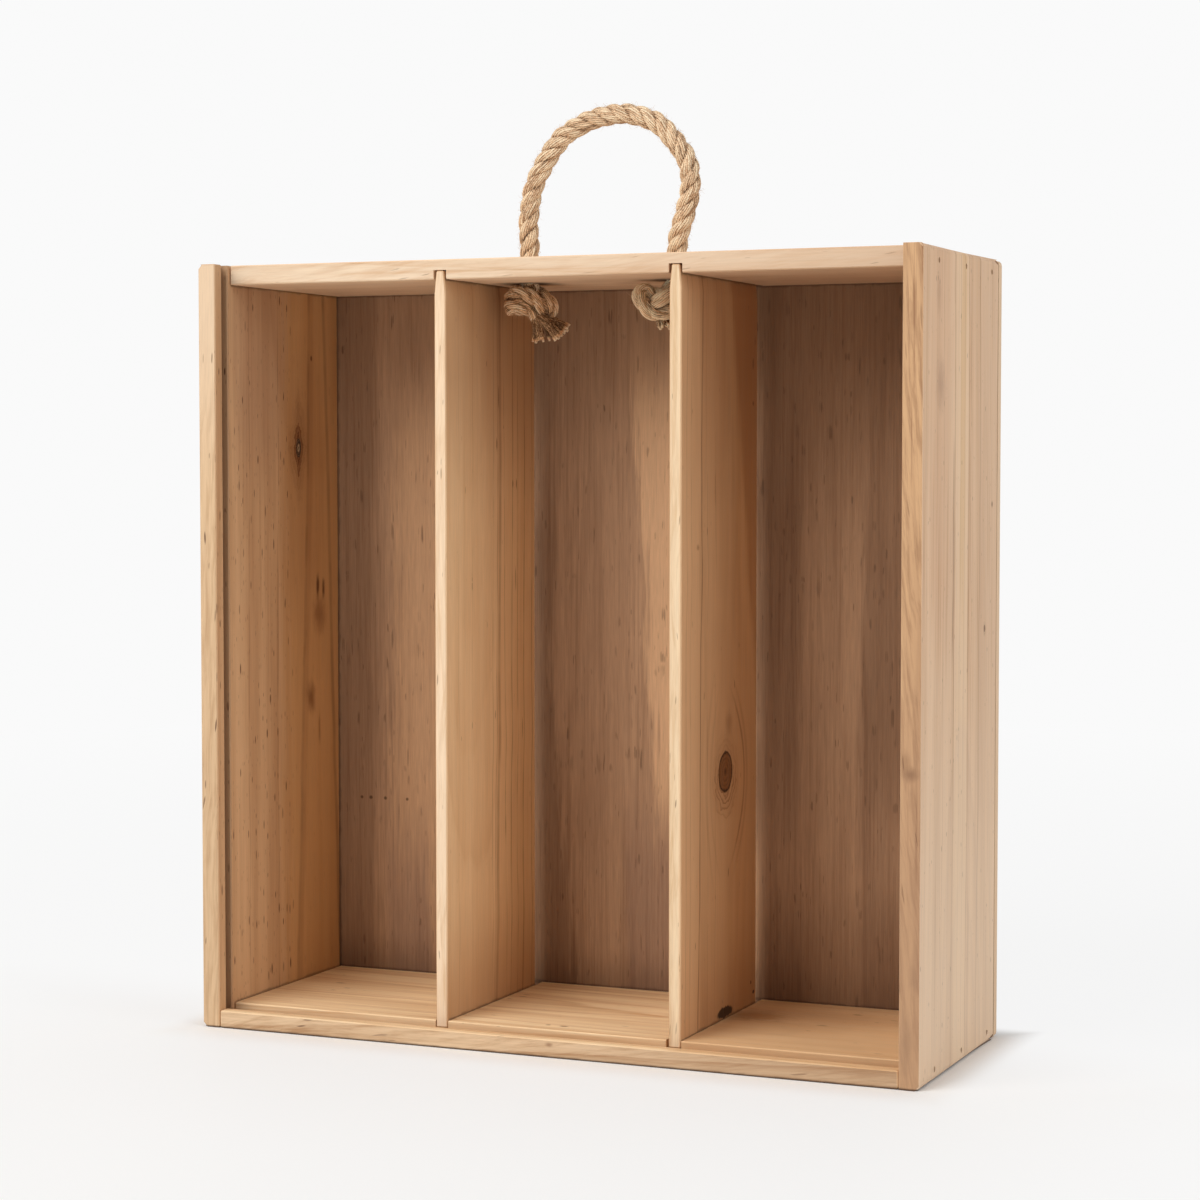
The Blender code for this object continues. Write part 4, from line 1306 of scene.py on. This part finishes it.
def rope_material(name, pale, dark, crevice, crest=None):
    """Natural fibre: fine threads along each yarn, tints that differ along it, painted shade in the
    crevices, painted highlights on the crests, pale tips.
    """
    g = Graph(name)
    fibre, relief_and_shade = (g.node("ShaderNodeAttribute", attribute_name=key) for key in ("fibre", "relief_and_shade"))
    around, across, along = g.parts(Value(g, fibre.outputs["Vector"]))
    relief_and_shade = Value(g, relief_and_shade.outputs["Fac"])

    def threads(size, length, detail, roughness=0.5):
        """Noise with this many turns to the metre round a yarn and along it."""
        return g.noise((around * size, across * size, along * length), 1.0, detail, roughness)

    yarn = threads(700, 70, 1.0)
    fine = threads(4200, 1100, 4.0, 0.75)
    patches = threads(240, 130, 2.0)
    share = g.span(yarn, 0.32, 0.68) * 0.36 + g.span(fine, 0.40, 0.58) * 0.62
    share = share + g.span(patches, 0.35, 0.7) * 0.25
    colour = g.mix(g.lesser(share, 1.0), dark, pale)
    if crest:
        deep = relief_and_shade + (fine - 0.5) * 0.9
        # Painted shade in the crevices between yarns, a painted highlight on their crests, and pale cut
        # fibre at the tips
        colour = g.mix(g.span(deep, 0.0, 0.58, 0.90, 0.0), colour, crevice)
        colour = g.mix(g.span(deep, 0.66, 1.10, 0.0, 0.60), colour, crest)
        colour = g.mix(g.span(relief_and_shade, 1.15, 1.9, 0.0, 0.5), colour, CUT_FIBRE)
    looks = {"Base Color": colour, "Roughness": 0.85, "Specular IOR Level": 0.1}
    return g.finish(looks, fine + yarn * 0.3, FIBRE_RELIEF)


# The rope's pieces

# How much painted shade the hollows between each knot's strands take; less on the right knot, to keep it
# light
LEFT_KNOT_HOLLOW = 0.60
RIGHT_KNOT_HOLLOW = 0.15
ROPE_HAIRS, KNOT_HAIRS = 3600, 2400
HAIR_REACH = 0.0034
KNOT_HAIR_REACH = HAIR_REACH * 0.8
HAIRLESS_RINGS, KNOT_HAIRLESS_RINGS = 16, 10
ROPE_SEED, LEFT_KNOT_SEED, RIGHT_KNOT_SEED = 4, 11, 12
YARN_RADIUS = 0.00066
LOOSE_YARN_RIDGES = 5
LOOSE_YARN_TURN = 0.012
LOOSE_YARN_DEPTH = 0.00010
TIP_START = 0.86
YARN_TAPER = ((0, 0.9, 1), (1, 1.05, 0.8))
TAIL_YARNS = 9
TAIL_SHADE = 0.28
TAIL_TURN = 1.1
TAIL_REACH = 0.00155
TAIL_OPENING = 0.0004
TAIL_SPLAY = 0.0024
TAIL_SPLAY_START = 0.72
TAIL_SPLAY_POWER = 1.2
TAIL_WAVER = 0.00035
TAIL_THICKNESS = (0.95, 1.2)
FAN_YARNS = (3, 8)
FAN_RECESS = 0.0012
FAN_SHADE = 0.05
FAN_WAVER = 0.00045
FAN_THICKNESS = (0.8, 1.15)
FAN_PLACES = (0.2, 0.8)
FAN_LENGTH_SHARES = (0.60, 1.0)
PRESS_GAP = 0.0003
NECK_RUNS = (0.0, 0.005, 0.009)
NECK_WIDTHS = (ROPE_DIAMETER, ROPE_DIAMETER * 0.95, KNOT_DIAMETER)
KNOT_START_RISE = 0.004
HOLE_RISE = 0.0005
VISIBLE_WIDTH_SHARE = 1.04


def hole(x, height=0.0):
    return (x, ROPE_Y, CEILING + height)


def knot_place(point, hole_x):
    """A point of a knot's route in the case's frame."""
    right, forward, up = (MILLIMETRE * length for length in point)
    turn = math.radians(KNOT_TURN_DEGREES)
    x = right * math.cos(turn) + forward * math.sin(turn)
    y = right * math.sin(turn) - forward * math.cos(turn)
    return (hole_x + x, ROPE_Y + y, CEILING + up)


def press_under(data, hole_x):
    """Flattens what would stand into the board against its underside, outside the hole."""
    limit = CEILING - PRESS_GAP
    for points in data.points:
        outside = np.hypot(points[:, X] - hole_x, points[:, Y] - ROPE_Y) > ROPE_DIAMETER / 2
        points[:, Z] = np.where(outside & (points[:, Z] > limit), limit, points[:, Z])


def make_rope(finish, fuzz_finish):
    """The rope from one hole's foot over the arch to the other's, bending where it leaves the board."""
    arch = [(ARCH_MIDDLE_X + MILLIMETRE * x, ROPE_Y, BOARD_TOP + MILLIMETRE * z) for x, z in ARCH_ROUTE]
    left = [hole(LEFT_HOLE_X), (LEFT_HOLE_X, ROPE_Y, BOARD_TOP + HOLE_RISE)]
    right = [(RIGHT_HOLE_X, ROPE_Y, BOARD_TOP + HOLE_RISE), hole(RIGHT_HOLE_X)]
    line = rope_line([*left, *arch, *right])
    run = run_along(line)
    in_board = BOARD_TOP - CEILING
    from_end = np.minimum(run, run[-1] - run)
    widths = ROPE_DIAMETER * np.interp(from_end, [in_board, 2 * in_board], [1.0, VISIBLE_WIDTH_SHARE])
    rng = np.random.default_rng(ROPE_SEED)
    data = MeshData()
    laid_rope(data, line, widths, LAY_LENGTH, YARNS, rng)
    rope = data.build("rope", finish)
    fuzz_data = MeshData()
    clear = slice(HAIRLESS_RINGS, -HAIRLESS_RINGS)
    hairs(fuzz_data, line[clear], widths[clear], ROPE_HAIRS, HAIR_REACH, rng)
    fuzz = fuzz_data.build("rope_fuzz", fuzz_finish)
    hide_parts("rope_loop")
    for piece in (rope, fuzz):
        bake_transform(piece)
    return rope, fuzz, line


def loose_yarn(data, line, outward, share, thickness, shade, rng):
    """A single yarn with a pale cut tip; share is how far along it each point lies."""
    radii = YARN_RADIUS * rng.uniform(*thickness) * np.interp(share, *YARN_TAPER)
    tips = np.clip((share - TIP_START) / (1 - TIP_START), 0, 1)[:, None]
    strand(
        data, line, outward, radii, LOOSE_YARN_RIDGES, LOOSE_YARN_TURN, rng,
        depth=LOOSE_YARN_DEPTH, tips=tips, shade=shade,
    )


def tail_strand(data, route, rng):
    """A strand of the tail: its yarns lie together where they leave the knot and splay at the cut."""
    line = rope_line(route)
    _, sides, others = frames_along(line)
    along = np.linspace(0, 1, len(line))
    for yarn in range(TAIL_YARNS):
        middle = yarn == TAIL_YARNS - 1
        turn = 2 * math.pi * yarn / (TAIL_YARNS - 1) + TAIL_TURN * along
        splay = TAIL_SPLAY * np.clip(along - TAIL_SPLAY_START, 0, 1) ** TAIL_SPLAY_POWER
        reach = (0 if middle else 1) * (TAIL_REACH + TAIL_OPENING * along**2 + splay)
        outward = spokes(turn, sides, others)
        waver = rng.normal(0, TAIL_WAVER, 3)[None, :] * along[:, None] ** 2
        yarn_line = line + reach[:, None] * outward + waver
        last = len(line) - rng.integers(0, 3) - (2 if middle else 0)
        loose_yarn(data, yarn_line[:last], outward[:last], along[:last], TAIL_THICKNESS, TAIL_SHADE, rng)


def fanned_yarns(data, first, second, count, rng):
    """Single yarns that have come loose and lie between two strands of a tail."""
    first, second = np.asarray(first), np.asarray(second)
    for number in range(count):
        share = (number + rng.uniform(*FAN_PLACES)) / count
        route = first * (1 - share) + second * share
        route[-1] = route[-2] + (route[-1] - route[-2]) * rng.uniform(*FAN_LENGTH_SHARES)
        line = rope_line(route)
        along = np.linspace(0, 1, len(line))
        line = line + rng.normal(0, FAN_WAVER, 3)[None, :] * along[:, None]
        _, sides, _ = frames_along(line)
        line[:, Y] += FAN_RECESS * np.sin(along * math.pi / 2)
        loose_yarn(data, line, sides, along, FAN_THICKNESS, FAN_SHADE, rng)


def make_knot(side, hole_x, route, tails, hollow, finish, fuzz_finish, seed):
    """A stopper knot under the board, its tail opened out into strands and yarns."""
    rng = np.random.default_rng(seed)
    knot = [knot_place(point, hole_x) for point in route]
    line = rope_line([hole(hole_x, KNOT_START_RISE), hole(hole_x), *knot])
    run = run_along(line)
    widths = np.interp(run, NECK_RUNS, NECK_WIDTHS)
    data = MeshData()
    laid_rope(data, line, widths, KNOT_LAY_LENGTH, KNOT_YARNS, rng, hollow)
    tails = [[knot_place(point, hole_x) for point in tail] for tail in tails]
    for tail in tails:
        tail_strand(data, tail, rng)
    for first, second, count in zip(tails, tails[1:], FAN_YARNS):
        fanned_yarns(data, first, second, count, rng)
    press_under(data, hole_x)
    piece = data.build(f"{side}_knot", finish)
    fuzz_data = MeshData()
    clear = slice(KNOT_HAIRLESS_RINGS, None)
    hairs(fuzz_data, line[clear], widths[clear], KNOT_HAIRS, KNOT_HAIR_REACH, rng)
    press_under(fuzz_data, hole_x)
    fuzz = fuzz_data.build(f"{side}_knot_fuzz", fuzz_finish)
    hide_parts(f"rope_end_{side}")
    for made in (piece, fuzz):
        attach(made, "case")
    return [piece, fuzz]


def dress_rope():
    # jute_lit and jute_shaded are lighter and darker copies of the jute finish: painted light on the right
    # knot, which hangs in shade, and painted shade on the left knot
    finish = rope_material("jute", (255, 222, 184), (166, 114, 74), (62, 35, 17), CREST_HIGHLIGHT)
    lit = rope_material("jute_lit", (255, 238, 200), (244, 186, 132), (84, 48, 24), CREST_HIGHLIGHT)
    shaded = rope_material("jute_shaded", (252, 204, 154), (160, 102, 56), (62, 30, 10), CREST_HIGHLIGHT)
    fuzz_finish = rope_material("jute_fuzz", (226, 194, 158), (182, 142, 104), (90, 60, 34))
    rope, fuzz, line = make_rope(finish, fuzz_finish)
    left = make_knot(
        "left", LEFT_HOLE_X, LEFT_KNOT_ROUTE, LEFT_TAIL_ROUTES, LEFT_KNOT_HOLLOW, shaded, fuzz_finish,
        LEFT_KNOT_SEED,
    )
    right = make_knot(
        "right", RIGHT_HOLE_X, RIGHT_KNOT_ROUTE, RIGHT_TAIL_ROUTES, RIGHT_KNOT_HOLLOW, lit, fuzz_finish,
        RIGHT_KNOT_SEED,
    )


def dress_brads():
    metal = steel("brad_steel")
    for node in NODES:
        if node.startswith("brad_"):
            dress(node, metal)


# Camera, floor and light

BACKGROUND = 0.955
FLOOR_RADIUS = 8.0
FLOOR_SIDES = 96
FRONT_REACH = 0.03
SIDE_REACH = 0.020
NEAR_SHARES = (0.55, 0.90)
FADE_REACH = (0.30, 1.5)
FLOOR_GREY = (0.93, 0.93, 0.925, 1.0)
SHOWN_GREY = (BACKGROUND, BACKGROUND, BACKGROUND, 1.0)
SKY_TINT = (1.0, 0.985, 0.965, 1.0)
SKY_STRENGTH = 0.30
LIGHT_AIM = (0.0, 0.0, 0.2)
WARM, WHITE = (1.0, 0.98, 0.95), (1.0, 1.0, 1.0)


def make_camera():
    data = bpy.data.cameras.new("camera")
    data.sensor_width = SENSOR_WIDTH
    data.lens = CAMERA_LENS
    data.clip_end = CLIP_END
    camera = bpy.data.objects.new("camera", data)
    camera.location = CAMERA_PLACE
    pitch, yaw = math.radians(90 + CAMERA_PITCH_DEGREES), math.radians(CAMERA_YAW_DEGREES)
    camera.rotation_euler = (pitch, 0.0, yaw)
    bpy.context.scene.collection.objects.link(camera)
    bpy.context.scene.camera = camera


def seen_directly(tree):
    """1 for a ray that shows the background: straight from the camera, or mirrored or passed on."""
    path = tree.nodes.new("ShaderNodeLightPath")
    total = path.outputs["Is Camera Ray"]
    for name in ("Is Glossy Ray", "Is Transmission Ray"):
        larger = tree.nodes.new("ShaderNodeMath")
        larger.operation = "MAXIMUM"
        tree.links.new(total, larger.inputs[0])
        tree.links.new(path.outputs[name], larger.inputs[1])
        total = larger.outputs[0]
    return total


def make_floor():
    """A pale floor that takes the case's shadow near it and fades to the background further out."""
    bpy.ops.mesh.primitive_circle_add(vertices=FLOOR_SIDES, radius=FLOOR_RADIUS, fill_type="NGON")
    floor = bpy.context.object
    floor.name = "floor"
    g = Graph("floor")
    places = g.texture_places("Object")
    far = g.fill(g.node("ShaderNodeVectorMath", operation="LENGTH"), {0: places}, "Value")
    sideways, back = abs(places[X]), places[Y]
    behind = g.span(back, -0.10, 0.06, *NEAR_SHARES)
    near = g.greater(behind, g.span(sideways, 0.15, 0.40, *NEAR_SHARES))
    fade = g.span(far, *FADE_REACH, near, 1.0)
    before = cad_box[0][Y] - back
    beside = g.greater(sideways - cad_box[1][X], back - cad_box[1][Y])
    fade = fade * g.greater(g.span(before, 0.0, FRONT_REACH), g.span(beside, 0.0, SIDE_REACH))
    g.shader.inputs["Base Color"].default_value = FLOOR_GREY
    g.finish({"Roughness": 0.6, "Specular IOR Level": 0.1})
    glow = g.node("ShaderNodeEmission")
    glow.inputs["Color"].default_value = SHOWN_GREY
    blend = g.node("ShaderNodeMixShader")
    g.put(blend.inputs[0], fade * Value(g, seen_directly(g.tree)))
    g.tree.links.new(g.shader.outputs[0], blend.inputs[1])
    g.tree.links.new(glow.outputs[0], blend.inputs[2])
    g.tree.links.new(blend.outputs[0], g.tree.nodes["Material Output"].inputs["Surface"])
    floor.data.materials.append(g.material)


def make_world():
    world = bpy.data.worlds.new("studio")
    bpy.context.scene.world = world
    world.use_nodes = True
    tree = world.node_tree
    light = tree.nodes["Background"]
    light.inputs["Color"].default_value = SKY_TINT
    light.inputs["Strength"].default_value = SKY_STRENGTH
    shown = tree.nodes.new("ShaderNodeBackground")
    shown.inputs["Color"].default_value = SHOWN_GREY
    blend = tree.nodes.new("ShaderNodeMixShader")
    tree.links.new(seen_directly(tree), blend.inputs[0])
    tree.links.new(light.outputs[0], blend.inputs[1])
    tree.links.new(shown.outputs[0], blend.inputs[2])
    tree.links.new(blend.outputs[0], tree.nodes["World Output"].inputs["Surface"])


def area_light(name, place, size, power, colour):
    data = bpy.data.lights.new(name, "AREA")
    data.shape = "RECTANGLE"
    data.size, data.size_y = size
    data.energy = power
    data.color = colour
    light = bpy.data.objects.new(name, data)
    light.location = place
    light.rotation_euler = (Vector(LIGHT_AIM) - Vector(place)).to_track_quat("-Z", "Y").to_euler()
    light.visible_camera = False
    bpy.context.scene.collection.objects.link(light)


def make_lights():
    area_light("key", (-1.35, -2.2, 1.9), (2.2, 1.8), 72.0, WARM)
    area_light("right_fill", (2.4, -0.9, 1.1), (1.6, 1.6), 22.0, WHITE)
    area_light("overhead", (0.0, 0.2, 2.6), (2.0, 2.0), 10.0, WHITE)


make_camera()
make_world()
make_floor()
make_lights()
dress_rope()
dress_left_side()
dress_right_side()
dress_top_board()
dress_bottom_board()
dress_divider_left()
dress_divider_right()
dress_back_panel()
dress_brads()
bpy.context.scene.view_settings.view_transform = "Standard"
